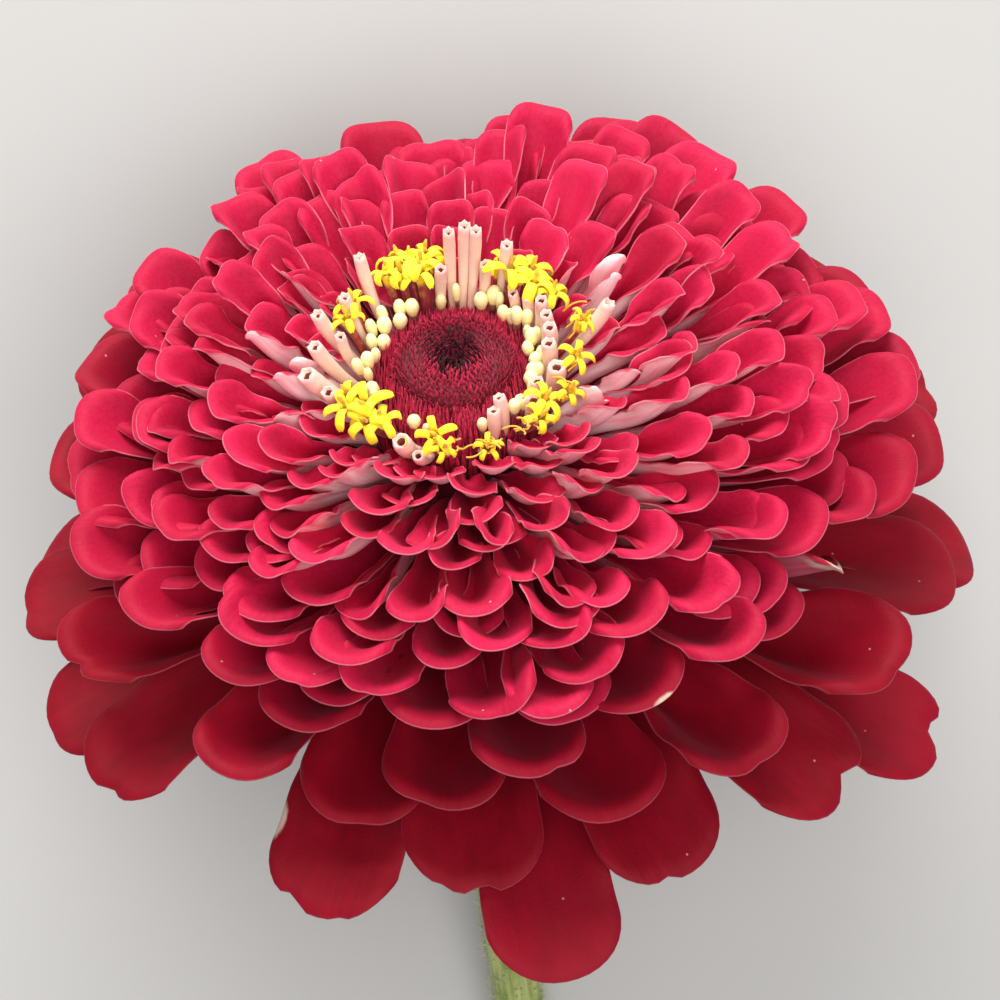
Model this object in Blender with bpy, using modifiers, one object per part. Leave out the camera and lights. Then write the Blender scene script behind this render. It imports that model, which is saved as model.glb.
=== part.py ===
"""A double zinnia, picked with a short stem and laid down on a flat surface.

The head is built in its own frame: +Z is the flower's axis, out of its face, and the
origin is where the lowest ray florets leave the receptacle. An empty then tips the head
over, face towards -Y and looking up, so that it rests on the ray florets at its lower
side and on the end of its stem. All lengths are in metres.
"""

import math

import bmesh
import bpy
import numpy as np
from mathutils import Matrix, Vector

MM = 0.001
GAP = 0.3 * MM

# How the flower lies.
FACE_RISE = math.radians(40)
HEAD_HEIGHT = 36 * MM
PRESS_SOFTNESS = 1.2 * MM
PRESS_FIRST = 0.15
PRESS_STEP = 0.12

# Receptacle: the solid cone that carries every floret, as (radius, height) down its outside.
RECEPTACLE_TOP = 35.6 * MM
RECEPTACLE_PROFILE = (
    (0.0, RECEPTACLE_TOP),
    (7.2 * MM, 35.4 * MM),
    (8.2 * MM, 34.6 * MM),
    (8.6 * MM, 33.2 * MM),
    (9.8 * MM, 18.0 * MM),
    (11.2 * MM, 2.0 * MM),
    (10.6 * MM, -1.6 * MM),
    (7.6 * MM, -5.2 * MM),
    (3.6 * MM, -6.6 * MM),
    (0.0, -6.6 * MM),
)

# Ray florets. Age runs from 0 for the oldest, at the rim, to 1 for the youngest, by the disc.
# Each row below holds one value for each of RAY_AGES.
RAY_COUNT = 150
SEPARATE_RAYS = 34
GOLDEN_ANGLE = math.radians(137.508)
FIRST_AZIMUTH = math.radians(7)
RAY_AGES = (0, 0.12, 0.14, 0.228, 0.25, 0.32, 0.45, 0.58, 0.72, 0.84, 0.93, 1)
RAY_SEAT = np.array((3.2, 7.0, 7.6, 10.6, 11.4, 13.6, 17.5, 21.3, 25.2, 28.4, 31.2, 33.0)) * MM
RAY_LENGTH = np.array((44.5, 44.0, 44.5, 44.0, 41.5, 41.0, 38.5, 35.5, 31.5, 25.5, 18.0, 11.5)) * MM
RAY_WIDTH = np.array((15.4, 15.2, 15.0, 14.8, 14.8, 14.0, 12.0, 10.6, 9.2, 8.0, 6.0, 5.0)) * MM
RAY_RISE_AT_CLAW = np.radians((12, 16, 30, 30, 46, 47, 50, 53, 56, 58, 58, 56))
RAY_RISE_AT_TIP = np.radians((-25, -20, -4, -6, 3, 3, 5, 8, 12, 20, 28, 34))
RAY_CUP = np.radians((28, 30, 44, 48, 48, 48, 48, 48, 48, 50, 55, 60))
RAY_THICKNESS = 0.5 * MM
RAY_GRID = (7, 4)
CLAW_WIDTH_SHARE = 0.2
SEAT_CLEARANCE = 0.65 * MM
RAY_TRIMS = {
    0: 1.03, 2: 1.09, 4: 1.05, 5: 1.07, 9: 1.02, 10: 0.93, 12: 1.06, 15: 0.91, 17: 1.05, 18: 1.02,
    20: 0.87, 23: 0.93, 25: 1.03, 26: 1.01, 28: 0.88, 31: 0.96,
}
RAY_TURNS = {
    2: -4, 4: 2, 5: -3, 7: -3, 9: 4, 10: -7, 12: -3, 15: -3, 18: -6, 20: 11, 26: -12, 28: 9,
    31: -2, 33: 9,
}
RAY_TURN_SPREAD = math.radians(2.5)
RAY_RISE_SPREAD = math.radians(2.0)
RAY_LENGTH_SPREAD = 0.035
RAY_SEED = 12
FRONT = math.radians(270)
FRONT_SHORTENING = 0.09
RIGHT_LENGTHENING = 0.085

# Whorls: the younger ray florets, joined at their claws into lobed crowns.
WHORL_AGES = (0.30, 0.42, 0.55, 0.69, 0.83, 0.96)
WHORL_LOBES = 13
WHORL_GRID = (3, 4 * WHORL_LOBES)
WHORL_NOTCH = 0.2

# Disc: the cone of chaffy scales, and the ring of small tubular florets round it.
DISC_CONE_PROFILE = (
    (0.0, 42.2 * MM),
    (2.6 * MM, 42.8 * MM),
    (5.4 * MM, 42.2 * MM),
    (7.2 * MM, 39.6 * MM),
    (7.6 * MM, RECEPTACLE_TOP + GAP),
    (0.0, RECEPTACLE_TOP + GAP),
)
FLORET_RING_FOOT = (8.9 * MM, 34.7 * MM)
FLORET_RING_TOP = (12.4 * MM, 43.5 * MM)
FLORET_RING_THICKNESS = 1.4 * MM
FLORET_RING_LOBES = 12
FLORET_RING_NOTCH = 0.18

# Involucre: two rows of green bracts that hold the head from below.
BRACTS_PER_ROW = 8
BRACT_ROWS = (("bract_inner", 0.5 * MM, 1.0), ("bract_outer", 1.35 * MM, 0.84))
BRACT_PROFILE = (
    (4.2 * MM, -7.2 * MM),
    (7.8 * MM, -5.8 * MM),
    (10.9 * MM, -1.9 * MM),
    (11.6 * MM, 1.3 * MM),
)
BRACT_GRID = (4, 3)
BRACT_FILL = 0.9
BRACT_THICKNESS = 0.45 * MM

# Stem: a tube that leaves the head along its axis and curves down until its end lies flat.
STEM_TOP = -6.6 * MM - GAP
STEM_KNOTS = (0.0, 0.15, 0.6, 1.0)
STEM_RADII = (3.9 * MM, 3.4 * MM, 3.2 * MM, 3.0 * MM)
STEM_REACH = 74 * MM
STEM_DRIFT = -5 * MM
STEM_LEAD = 26 * MM
STEM_POINTS = 18

TURN_STEPS = 24


# --- materials -------------------------------------------------------------------------


def make_material(name, colour, roughness):
    material = bpy.data.materials.new(name)
    material.use_nodes = True
    shader = material.node_tree.nodes["Principled BSDF"]
    shader.inputs["Base Color"].default_value = (*colour, 1.0)
    shader.inputs["Roughness"].default_value = roughness
    shader.inputs["Metallic"].default_value = 0.0
    return material


# --- shape helpers ---------------------------------------------------------------------


def by_age(age, values):
    return np.interp(age, RAY_AGES, values)


def smooth_step(x):
    x = np.clip(x, 0, 1)
    return x * x * (3 - 2 * x)


def receptacle_radius(height):
    """The receptacle's radius where florets sit, between its shoulder and its foot."""
    radii, heights = zip(*RECEPTACLE_PROFILE[3:6])
    return np.interp(height, heights[::-1], radii[::-1])


def running_sum(values, steps):
    """The integral of values over steps, from zero, by trapezoids."""
    parts = (values[1:] + values[:-1]) / 2 * np.diff(steps)
    return np.concatenate(([0.0], np.cumsum(parts)))


def ray_midline(age, length, along, lift=0.0):
    """Radius, height and rise of a ray floret's midline, which arches outwards from its seat."""
    steps = np.linspace(0, 1, 49)
    at_claw = by_age(age, RAY_RISE_AT_CLAW) + lift
    rise = at_claw + (by_age(age, RAY_RISE_AT_TIP) + lift - at_claw) * steps
    seat = by_age(age, RAY_SEAT)
    out = length * running_sum(np.cos(rise), steps)
    up = length * running_sum(np.sin(rise), steps)
    radius = receptacle_radius(seat) + SEAT_CLEARANCE + np.interp(along, steps, out)
    return radius, seat + np.interp(along, steps, up), np.interp(along, steps, rise)


def around_axis(azimuth, radius, side, height):
    """Points at a radius and height, moved sideways from an azimuth, as x, y, z."""
    return np.stack(
        (
            radius * np.cos(azimuth) - side * np.sin(azimuth),
            radius * np.sin(azimuth) + side * np.cos(azimuth),
            height,
        ),
        axis=-1,
    )


def pressed(points, clearance):
    """Points of the head, with those that would go through the surface bent up onto it."""
    up = np.array((0.0, -math.cos(FACE_RISE), math.sin(FACE_RISE)))
    height = HEAD_HEIGHT + points @ up - clearance
    lift = (np.sqrt(height**2 + PRESS_SOFTNESS**2) - height) / 2
    return points + lift[..., None] * up


def sheet_object(name, collection, parent, grid, place, thickness, material, ring=False):
    """A grid whose points are set by place(along, across), thickened to both sides.

    With ring, across goes all the way round and its two ends are merged.
    """
    rows, columns = grid
    mesh = bpy.data.meshes.new(name)
    shape = bmesh.new()
    bmesh.ops.create_grid(shape, x_segments=columns, y_segments=rows, size=1)
    flat = np.array([vertex.co[:] for vertex in shape.verts])
    placed = place((flat[:, 1] + 1) / 2, flat[:, 0])
    for vertex, point in zip(shape.verts, placed):
        vertex.co = point
    if ring:
        bmesh.ops.remove_doubles(shape, verts=shape.verts, dist=1e-6)
    shape.to_mesh(mesh)
    shape.free()
    mesh.shade_smooth()
    made = bpy.data.objects.new(name, mesh)
    collection.objects.link(made)
    mesh.materials.append(material)
    made.parent = parent
    solid = made.modifiers.new("thickness", "SOLIDIFY")
    solid.thickness = thickness
    solid.offset = 0
    return made


def turned_object(name, collection, parent, profile, material):
    """A solid turned about the head's axis from a profile of (radius, height), top to bottom."""
    mesh = bpy.data.meshes.new(name)
    points = [(radius, 0.0, height) for radius, height in profile]
    edges = [(i, i + 1) for i in range(len(points) - 1)]
    mesh.from_pydata(points, edges, [])
    made = bpy.data.objects.new(name, mesh)
    collection.objects.link(made)
    mesh.materials.append(material)
    made.parent = parent
    screw = made.modifiers.new("turn", "SCREW")
    screw.steps = TURN_STEPS
    screw.render_steps = TURN_STEPS
    screw.use_merge_vertices = True
    screw.merge_threshold = 1e-5
    screw.use_smooth_shade = True
    return made


# --- pieces ----------------------------------------------------------------------------


def make_receptacle(collection, head, material):
    turned_object("receptacle", collection, head, RECEPTACLE_PROFILE, material)


def make_disc_cone(collection, head, material):
    turned_object("disc_cone", collection, head, DISC_CONE_PROFILE, material)


def make_disc_floret_ring(collection, head, material):
    """The tubular florets of the disc, side by side in one lobed ring."""

    def place(along, across):
        turn = across * math.pi
        lobe = np.sqrt(np.abs(np.cos(turn * FLORET_RING_LOBES / 2)))
        reach = along * (1 - FLORET_RING_NOTCH * (1 - lobe))
        radius = FLORET_RING_FOOT[0] + reach * (FLORET_RING_TOP[0] - FLORET_RING_FOOT[0])
        height = FLORET_RING_FOOT[1] + reach * (FLORET_RING_TOP[1] - FLORET_RING_FOOT[1])
        return around_axis(turn, radius, 0.0, height)

    grid = (2, 4 * FLORET_RING_LOBES)
    sheet_object(
        "disc_floret_ring", collection, head, grid, place, FLORET_RING_THICKNESS, material, ring=True
    )


def make_ray(index, spread, collection, head, material):
    """One ray floret: a narrow claw that widens to a cupped blade with a round tip."""
    age = index / (RAY_COUNT - 1)
    turn_share, rise_share, length_share = spread[index]
    azimuth = FIRST_AZIMUTH + index * GOLDEN_ANGLE + math.radians(RAY_TURNS.get(index, 0))
    azimuth += RAY_TURN_SPREAD * turn_share
    faces_front = max(0.0, math.cos(azimuth - FRONT))
    reach = 1 - FRONT_SHORTENING * faces_front + RIGHT_LENGTHENING * math.cos(azimuth)
    trim = RAY_TRIMS.get(index, 1 + RAY_LENGTH_SPREAD * length_share)
    length = by_age(age, RAY_LENGTH) * reach * trim
    half_width = by_age(age, RAY_WIDTH) / 2
    tip_share = half_width / length
    cup = by_age(age, RAY_CUP)

    def place(along, across):
        rounding = 1 - np.sqrt(1 - 0.98 * across**2)
        along = along * (1 - tip_share * rounding * along**2)
        radius, height, rise = ray_midline(age, length, along, RAY_RISE_SPREAD * rise_share)
        widening = CLAW_WIDTH_SHARE + (1 - CLAW_WIDTH_SHARE) * smooth_step(along / 0.65)
        half = half_width * widening
        side = half * np.sin(cup * across) / cup
        lift = half * (1 - np.cos(cup * across)) / cup
        points = around_axis(
            azimuth, radius - lift * np.sin(rise), side, height + lift * np.cos(rise)
        )
        return pressed(points, RAY_THICKNESS * (PRESS_FIRST + index * PRESS_STEP))

    name = f"ray_{index + 1:02d}"
    sheet_object(name, collection, head, RAY_GRID, place, RAY_THICKNESS, material)


def make_whorl(number, age, collection, head, material):
    """A crown of young ray florets of one age, with a lobe for each pair of them."""

    def place(along, across):
        turn = across * math.pi
        lobe = np.sqrt(np.abs(np.cos(turn * WHORL_LOBES / 2)))
        along = along * (1 - WHORL_NOTCH * (1 - lobe))
        reach = 1 - FRONT_SHORTENING * np.maximum(0.0, np.cos(turn - FRONT))
        reach += RIGHT_LENGTHENING * np.cos(turn)
        radius, height, _ = ray_midline(age, by_age(age, RAY_LENGTH), along * reach)
        return around_axis(turn, radius, 0.0, height)

    name = f"ray_whorl_{number}"
    sheet_object(name, collection, head, WHORL_GRID, place, RAY_THICKNESS, material, ring=True)


def make_bract(name, number, standoff, reach, collection, head, material):
    """One bract: a rounded scale that follows the foot of the receptacle at a standoff."""
    radii, heights = (np.array(values) for values in zip(*BRACT_PROFILE))
    knots = np.linspace(0, 1, len(radii))
    spacing = 2 * math.pi / BRACTS_PER_ROW
    offset = spacing / 2 if name == "bract_outer" else 0.0

    def place(along, across):
        rounding = 1 - np.sqrt(1 - 0.98 * across**2)
        along = reach * along * (1 - 0.3 * rounding * along**2)
        turn = number * spacing + offset + across * BRACT_FILL * spacing / 2
        radius = np.interp(along, knots, radii) + standoff
        height = np.interp(along, knots, heights) - standoff * (1 - along)
        return around_axis(turn, radius, 0.0, height)

    sheet_object(
        f"{name}_{number + 1}", collection, head, BRACT_GRID, place, BRACT_THICKNESS, material
    )


def stem_route(top, direction):
    """Points from the head's foot to the cut end, on one cubic curve that ends level with the surface."""
    end = Vector((top.x + STEM_DRIFT, top.y + STEM_REACH, STEM_RADII[-1]))
    level = Vector((STEM_DRIFT / STEM_REACH, 1.0, -0.06)).normalized()
    controls = (top, top + direction * STEM_LEAD, end - level * STEM_LEAD, end)
    points = []
    for i in range(STEM_POINTS):
        t = i / (STEM_POINTS - 1)
        weights = ((1 - t) ** 3, 3 * t * (1 - t) ** 2, 3 * t * t * (1 - t), t**3)
        points.append(sum((w * c for w, c in zip(weights, controls)), Vector()))
    return points


def make_stem(collection, root, head_matrix, material):
    top = head_matrix @ Vector((0.0, 0.0, STEM_TOP))
    direction = head_matrix.to_3x3() @ Vector((0.0, 0.0, -1.0))
    points = stem_route(top, direction)
    curve = bpy.data.curves.new("stem", "CURVE")
    curve.dimensions = "3D"
    curve.bevel_depth = 1.0
    curve.bevel_resolution = 3
    curve.use_fill_caps = True
    spline = curve.splines.new("POLY")
    spline.points.add(len(points) - 1)
    for i, (spline_point, place) in enumerate(zip(spline.points, points)):
        spline_point.co = (*place, 1.0)
        spline_point.radius = np.interp(i / (len(points) - 1), STEM_KNOTS, STEM_RADII)
    made = bpy.data.objects.new("stem", curve)
    collection.objects.link(made)
    curve.materials.append(material)
    made.parent = root


# --- assembly --------------------------------------------------------------------------


def head_placement():
    """Tips the head's axis down to FACE_RISE above the surface, facing -Y, at HEAD_HEIGHT."""
    sideways = Vector((-1.0, 0.0, 0.0))
    down = Vector((0.0, -math.sin(FACE_RISE), -math.cos(FACE_RISE)))
    outwards = Vector((0.0, -math.cos(FACE_RISE), math.sin(FACE_RISE)))
    turn = Matrix((sideways, down, outwards)).transposed().to_4x4()
    return Matrix.Translation((0.0, 0.0, HEAD_HEIGHT)) @ turn


def rest_at_origin(root, pieces):
    """Moves the root so that the middle of the whole flower's underside is the origin."""
    bpy.context.view_layer.update()
    graph = bpy.context.evaluated_depsgraph_get()
    corners = []
    for piece in pieces:
        evaluated = piece.evaluated_get(graph)
        mesh = evaluated.to_mesh()
        corners.extend(evaluated.matrix_world @ vertex.co for vertex in mesh.vertices)
        evaluated.to_mesh_clear()
    low = np.min([corner[:] for corner in corners], axis=0)
    high = np.max([corner[:] for corner in corners], axis=0)
    root.location = (-(low[0] + high[0]) / 2, -(low[1] + high[1]) / 2, -low[2])


def main():
    for old in list(bpy.data.objects):
        bpy.data.objects.remove(old)
    collection = bpy.data.collections.new("zinnia")
    bpy.context.scene.collection.children.link(collection)

    root = bpy.data.objects.new("zinnia_root", None)
    head = bpy.data.objects.new("zinnia_head", None)
    for empty in (root, head):
        collection.objects.link(empty)
    head.parent = root
    placement = head_placement()
    head.matrix_local = placement

    petal = make_material("ray_red", (0.55, 0.012, 0.055), 0.55)
    chaff = make_material("chaff_red", (0.12, 0.005, 0.02), 0.8)
    yellow = make_material("floret_yellow", (0.9, 0.66, 0.02), 0.6)
    bract = make_material("bract_green", (0.13, 0.22, 0.04), 0.6)
    green = make_material("stem_green", (0.30, 0.38, 0.12), 0.55)

    make_stem(collection, root, placement, green)
    make_receptacle(collection, head, green)
    make_disc_cone(collection, head, chaff)
    make_disc_floret_ring(collection, head, yellow)
    for name, standoff, reach in BRACT_ROWS:
        for number in range(BRACTS_PER_ROW):
            make_bract(name, number, standoff, reach, collection, head, bract)
    spread = np.random.default_rng(RAY_SEED).uniform(-1, 1, (RAY_COUNT, 3))
    for index in range(SEPARATE_RAYS):
        make_ray(index, spread, collection, head, petal)
    for number, age in enumerate(WHORL_AGES, start=1):
        make_whorl(number, age, collection, head, petal)

    rest_at_origin(root, [piece for piece in collection.objects if piece.type != "EMPTY"])


main()
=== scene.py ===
"""A cut double zinnia on a plain table: the looks of every piece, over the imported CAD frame."""

import math

import bpy
import numpy as np
from mathutils import Matrix, Vector


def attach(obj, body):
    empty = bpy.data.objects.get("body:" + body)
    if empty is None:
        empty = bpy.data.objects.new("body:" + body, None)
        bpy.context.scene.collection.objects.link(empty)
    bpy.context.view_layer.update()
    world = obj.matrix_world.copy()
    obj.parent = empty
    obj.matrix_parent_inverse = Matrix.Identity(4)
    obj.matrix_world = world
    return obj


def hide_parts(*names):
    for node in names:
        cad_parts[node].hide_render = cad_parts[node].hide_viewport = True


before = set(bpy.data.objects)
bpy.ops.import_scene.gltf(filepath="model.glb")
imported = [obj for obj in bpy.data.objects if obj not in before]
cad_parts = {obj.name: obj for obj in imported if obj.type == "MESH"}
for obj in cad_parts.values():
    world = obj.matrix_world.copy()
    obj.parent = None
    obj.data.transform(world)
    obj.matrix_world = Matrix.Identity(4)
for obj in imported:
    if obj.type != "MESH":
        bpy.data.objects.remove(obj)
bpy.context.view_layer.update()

# ---------------------------------------------------------------------------------------
# How the head lies. It is drawn upright in its own frame: z is the flower's axis, out of
# its face, y points to the side that lies on the table, and the origin is where the lowest
# petals grow. The frame is tipped and placed by the CAD receptacle, a turned solid.

MM = 0.001
FACE_RISE = math.radians(40)
RECEPTACLE_TOP = 35.6 * MM

head_axes = np.array(
    (
        (-1.0, 0.0, 0.0),
        (0.0, -math.sin(FACE_RISE), -math.cos(FACE_RISE)),
        (0.0, -math.cos(FACE_RISE), math.sin(FACE_RISE)),
    )
)


def node_points(name):
    """A CAD node's vertices as an array, in the row frame."""
    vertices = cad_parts[name].data.vertices
    flat = np.empty(3 * len(vertices), np.float32)
    vertices.foreach_get("co", flat)
    return flat.reshape(-1, 3).astype(float)


seen_from_head = node_points("receptacle") @ head_axes.T
middle = (seen_from_head.min(axis=0) + seen_from_head.max(axis=0)) / 2
middle[2] = seen_from_head[:, 2].max() - RECEPTACLE_TOP
head_origin = middle @ head_axes


def in_row_frame(points):
    """Points of the upright head, tipped over and set down where the CAD head is."""
    return head_origin + np.asarray(points) @ head_axes


# ---------------------------------------------------------------------------------------
# The camera looks down on the lying flower, from in front of its face and well to its
# upper side, so that the petals that lie on the table are at the top of the picture.

VIEW_OFF_AXIS = math.radians(42)
VIEW_ROLL = math.radians(-3)
VIEW_DISTANCE = 0.5
VIEW_WIDTH = 0.116
VIEW_AIM = (4.2 * MM, 0.0, 17.3 * MM)
SENSOR_WIDTH = 36.0


def new_object(name, data):
    """An object in the scene that shows a mesh, a lamp or a camera."""
    made = bpy.data.objects.new(name, data)
    bpy.context.scene.collection.objects.link(made)
    return made


toward_camera = Vector((0.0, -math.sin(VIEW_OFF_AXIS), math.cos(VIEW_OFF_AXIS)) @ head_axes)
picture_up = Vector((0.0, math.cos(VIEW_OFF_AXIS), math.sin(VIEW_OFF_AXIS)) @ head_axes)
picture_up = Matrix.Rotation(VIEW_ROLL, 3, toward_camera) @ picture_up
picture_right = picture_up.cross(toward_camera)

camera = new_object("camera", bpy.data.cameras.new("camera"))
camera.data.sensor_width = SENSOR_WIDTH
camera.data.lens = SENSOR_WIDTH * VIEW_DISTANCE / VIEW_WIDTH
camera.data.clip_start = 10 * MM
camera.matrix_world = (
    Matrix.Translation(Vector(in_row_frame(VIEW_AIM)) + toward_camera * VIEW_DISTANCE)
    @ Matrix((picture_right, picture_up, toward_camera)).transposed().to_4x4()
)
bpy.context.scene.camera = camera

# ---------------------------------------------------------------------------------------
# A plain pale table and soft light: a large softbox in front of the flower's face, a
# second one over the head, and an even pale surround.

TABLE_SIDE = 6.0
TABLE_ROUGHNESS = 0.7
TABLE_COLOUR = (0.52, 0.515, 0.5)
SURROUND_COLOUR = (0.95, 0.965, 1.0)
SURROUND_STRENGTH = 0.42


def add_node(tree, kind, inputs=None, **settings):
    """A shader node with its settings, and with inputs that are values or other sockets."""
    node = tree.nodes.new("ShaderNode" + kind)
    for key, value in settings.items():
        setattr(node, key, value)
    for key, value in (inputs or {}).items():
        if isinstance(value, bpy.types.NodeSocket):
            tree.links.new(value, node.inputs[key])
        else:
            node.inputs[key].default_value = value
    return node


def principled(name, colour, roughness, **sockets):
    """A material with one Principled shader, and its tree of shader nodes."""
    material = bpy.data.materials.new(name)
    material.use_nodes = True
    tree = material.node_tree
    shader = tree.nodes["Principled BSDF"]
    shader.inputs["Base Color"].default_value = (*colour, 1.0)
    shader.inputs["Roughness"].default_value = roughness
    for socket, value in sockets.items():
        shader.inputs[socket.replace("_", " ")].default_value = value
    return material, tree


table_material, _ = principled("table_top", TABLE_COLOUR, TABLE_ROUGHNESS)
table_mesh = bpy.data.meshes.new("table_top")
table_corners = TABLE_SIDE / 2 * np.array(((-1, -1, 0), (1, -1, 0), (1, 1, 0), (-1, 1, 0)))
table_mesh.from_pydata(table_corners.tolist(), [], [(0, 1, 2, 3)])
table_mesh.materials.append(table_material)
new_object("table_top", table_mesh)


def softbox(name, direction, distance, size, power, colour):
    """A square area light that faces the head from a direction in the head's frame."""
    lamp = bpy.data.lights.new(name, "AREA")
    lamp.size = size
    lamp.energy = power
    lamp.color = colour
    made = new_object(name, lamp)
    toward = Vector(np.array(direction) @ head_axes).normalized()
    made.location = Vector(in_row_frame(VIEW_AIM)) + toward * distance
    made.rotation_euler = toward.to_track_quat("Z", "Y").to_euler()


softbox("key_softbox", (-0.08, 0.35, 1.0), 0.9, 0.7, 12.6, (1.0, 0.98, 0.95))
softbox("fill_softbox", (0.2, -1.0, 0.75), 1.0, 0.8, 7.4, (1.0, 0.98, 0.97))

surround = bpy.data.worlds.new("surround")
surround.use_nodes = True
background = surround.node_tree.nodes["Background"]
background.inputs["Color"].default_value = (*SURROUND_COLOUR, 1.0)
background.inputs["Strength"].default_value = SURROUND_STRENGTH
bpy.context.scene.world = surround
bpy.context.scene.view_settings.view_transform = "Standard"

# ---------------------------------------------------------------------------------------
# Ray florets: what looks like the flower's petals. Each is one thin spoon of tissue that
# grows from a narrow rolled claw, velvety crimson on its upper side, dusty pink below,
# with a pale rim that rolls outwards. They sit at golden-angle steps up the receptacle.

RAY_COUNT = 300
SEPARATE_RAYS = 34
WHORL_STARTS = (SEPARATE_RAYS, 78, 122, 166, 210, 255, RAY_COUNT)
# the separate petals age as the CAD's spiral of 150 does, the rest closer together
CAD_RAY_COUNT = 150
GOLDEN_ANGLE = math.radians(137.508)
FIRST_AZIMUTH = math.radians(7)
# the front is the head's uppermost side as it lies, which faces the camera
FRONT = math.radians(270)
# a petal's age is 0 at the lowest and 1 at the youngest; the next rows go with these ages
RAY_AGES = (0, 0.12, 0.14, 0.228, 0.25, 0.32, 0.45, 0.58, 0.72, 0.84, 0.93, 1)
RAY_SEAT = np.array((3.2, 7.0, 7.6, 10.6, 11.4, 13.6, 17.5, 21.3, 25.2, 28.4, 31.2, 33.0)) * MM
RAY_LENGTH = np.array((44.5, 44.0, 44.5, 44.0, 41.5, 41.0, 38.5, 35.5, 31.5, 25.5, 18.0, 11.5)) * MM
RAY_WIDTH = np.array((15.4, 15.4, 15.0, 14.2, 13.2, 11.2, 9.4, 8.2, 7.4, 6.8, 6.2, 5.4)) * MM
RAY_RISE_AT_CLAW = np.radians((12, 16, 30, 30, 46, 47, 50, 53, 56, 58, 58, 56))
RAY_RISE_AT_TIP = np.radians((-25, -20, -4, -6, 3, 3, 5, 8, 12, 20, 28, 34))
RAY_SCOOP = np.radians((6, 10, 34, 38, 38, 40, 42, 44, 44, 42, 38, 34))
RAY_CUP = np.radians((30, 34, 58, 62, 62, 66, 78, 86, 92, 96, 96, 94))
RAY_SIDE_TILT = np.radians((0, 0, 0, 0, -2, -2, 1, 5, 8, 10, 16, 20))
# single petals' shares of their age's length, and degrees off their place in the spiral
RAY_TRIMS = {
    0: 1.03, 2: 1.09, 4: 1.05, 5: 1.07, 9: 1.02, 10: 0.93, 12: 1.06, 15: 0.91, 17: 1.05,
    18: 1.02, 20: 0.87, 23: 0.93, 25: 1.03, 26: 1.01, 28: 0.88, 31: 0.96, 36: 1.05, 38: 0.86,
    41: 0.97,
}
RAY_TURNS = {
    2: -4, 4: 2, 5: -3, 7: -4, 9: 4, 10: -7, 12: -3, 15: -2, 17: -1, 18: -6, 20: 11, 26: -12,
    28: 9, 31: -2, 33: 9, 36: -2, 57: 4, 70: -3,
}
RAY_TURN_SPREAD = math.radians(2.5)
RAY_RISE_SPREAD = math.radians(2.0)
RAY_LENGTH_SPREAD = 0.035
YOUNG_LENGTH_SPREAD = 1.8
RAY_AGE_BIAS = 0.8
RAY_SEED = 12
RAY_CHARACTER_SEED = 5
FRONT_SHORTENING = 0.09
RIGHT_LENGTHENING = 0.085
CLAW_WIDTH_SHARE = 0.2
OLD_CLAW_WIDENING = 0.14
OLD_CLAW_AGE = 0.3
CLAW_CUP = math.radians(110)
CLAW_SHARE = 0.5
CLAW_FADE = 1.5
BLADE_SHARE = 0.68
TIP_BLUNTNESS = 0.985
TIP_POWER = 2.05
TIP_OPENING = 0.6
TIP_OPENING_START = 0.6
SCOOP_START = 0.5
SCOOP_SPAN = 0.4
SCOOP_BALANCE = 0.3
SIDE_ROLL = math.radians(24)
SIDE_ROLL_AGE = 0.78
SIDE_ROLL_SPAN = 1 / 8
FRONT_FLATTENING = 0.4
FRONT_FLATTENING_SPAN = 1 / 6
LIP_ROLL = math.radians(20)
LIP_SHARE = 0.05
RIPPLE = 0.42 * MM
RIPPLE_LEAST = 0.25
SHORT_RIPPLE = 0.6
RIPPLE_SPAN = 0.6
OUTLINE_WAVE = 0.035
# a wave's turns along the petal, and its starts by the petal's own number and by side
OUTLINE_TURNS = (13, 7, 2)
LONG_RIPPLE_TURNS = (17, 9, 1.3)
SHORT_RIPPLE_TURNS = (33, 5, -1)
WALL_SHARE = 0.8
EDGE_TURN = 1.05
NOTCH_REACH = 0.2
# how much petals differ from their age's shape; a second value is what the loose ones add
BREADTH_SPREAD = (0.03, 0.09)
CUP_SPREAD = 0.16
TWIST_SPREAD = np.radians((5, 10))
ROLL_SPREAD = np.radians((3, 22))
BEND_SPREAD = 0.05
SKEW_SPREAD = 0.12
NOTCH_DEPTH = 0.014
LOOSE_SPAN = 30
ROLL_FADE = 8
SEAT_CLEARANCE = 0.4 * MM
# degrees by which a petal is rolled over about its own length
RAY_FOLDS = {
    39: -50, 44: 10, 61: 24, 250: 34, 258: 48, 263: 52, 271: 58, 284: 50, 257: 30, 262: -42,
    275: -50, 280: -40, 293: -50,
}
FOLD_NARROWING = 0.26
# petals that grew narrower than their age's width, by share
RAY_SLIMMING = {4: 0.12, 12: 0.15, 17: 0.1, 25: 0.12, 33: 0.08}
# ragged tips: the petal, a nick's place as a share of the width, its half-width and depth
RAY_NICKS = (
    (5, 0.4, 0.22, 0.045), (7, -0.45, 0.16, 0.03), (7, 0.3, 0.1, 0.012), (10, -0.2, 0.12, 0.02),
    (12, 0.3, 0.2, 0.025), (15, 0.1, 0.12, 0.035), (15, -0.5, 0.12, 0.012), (18, 0.35, 0.22, 0.05),
    (20, 0.2, 0.3, 0.02), (25, 0.2, 0.14, 0.03), (28, -0.4, 0.25, 0.02), (36, 0.35, 0.2, 0.02),
)
# withered spots: share of the length, share of the width, and the spot's reach in both
RAY_SCARS = {
    7: (0.76, -1.0, 0.07, 0.1),
    39: (1.0, -0.2, 0.08, 1.4),
    44: (1.0, 0.3, 0.02, 0.35),
}
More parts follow.
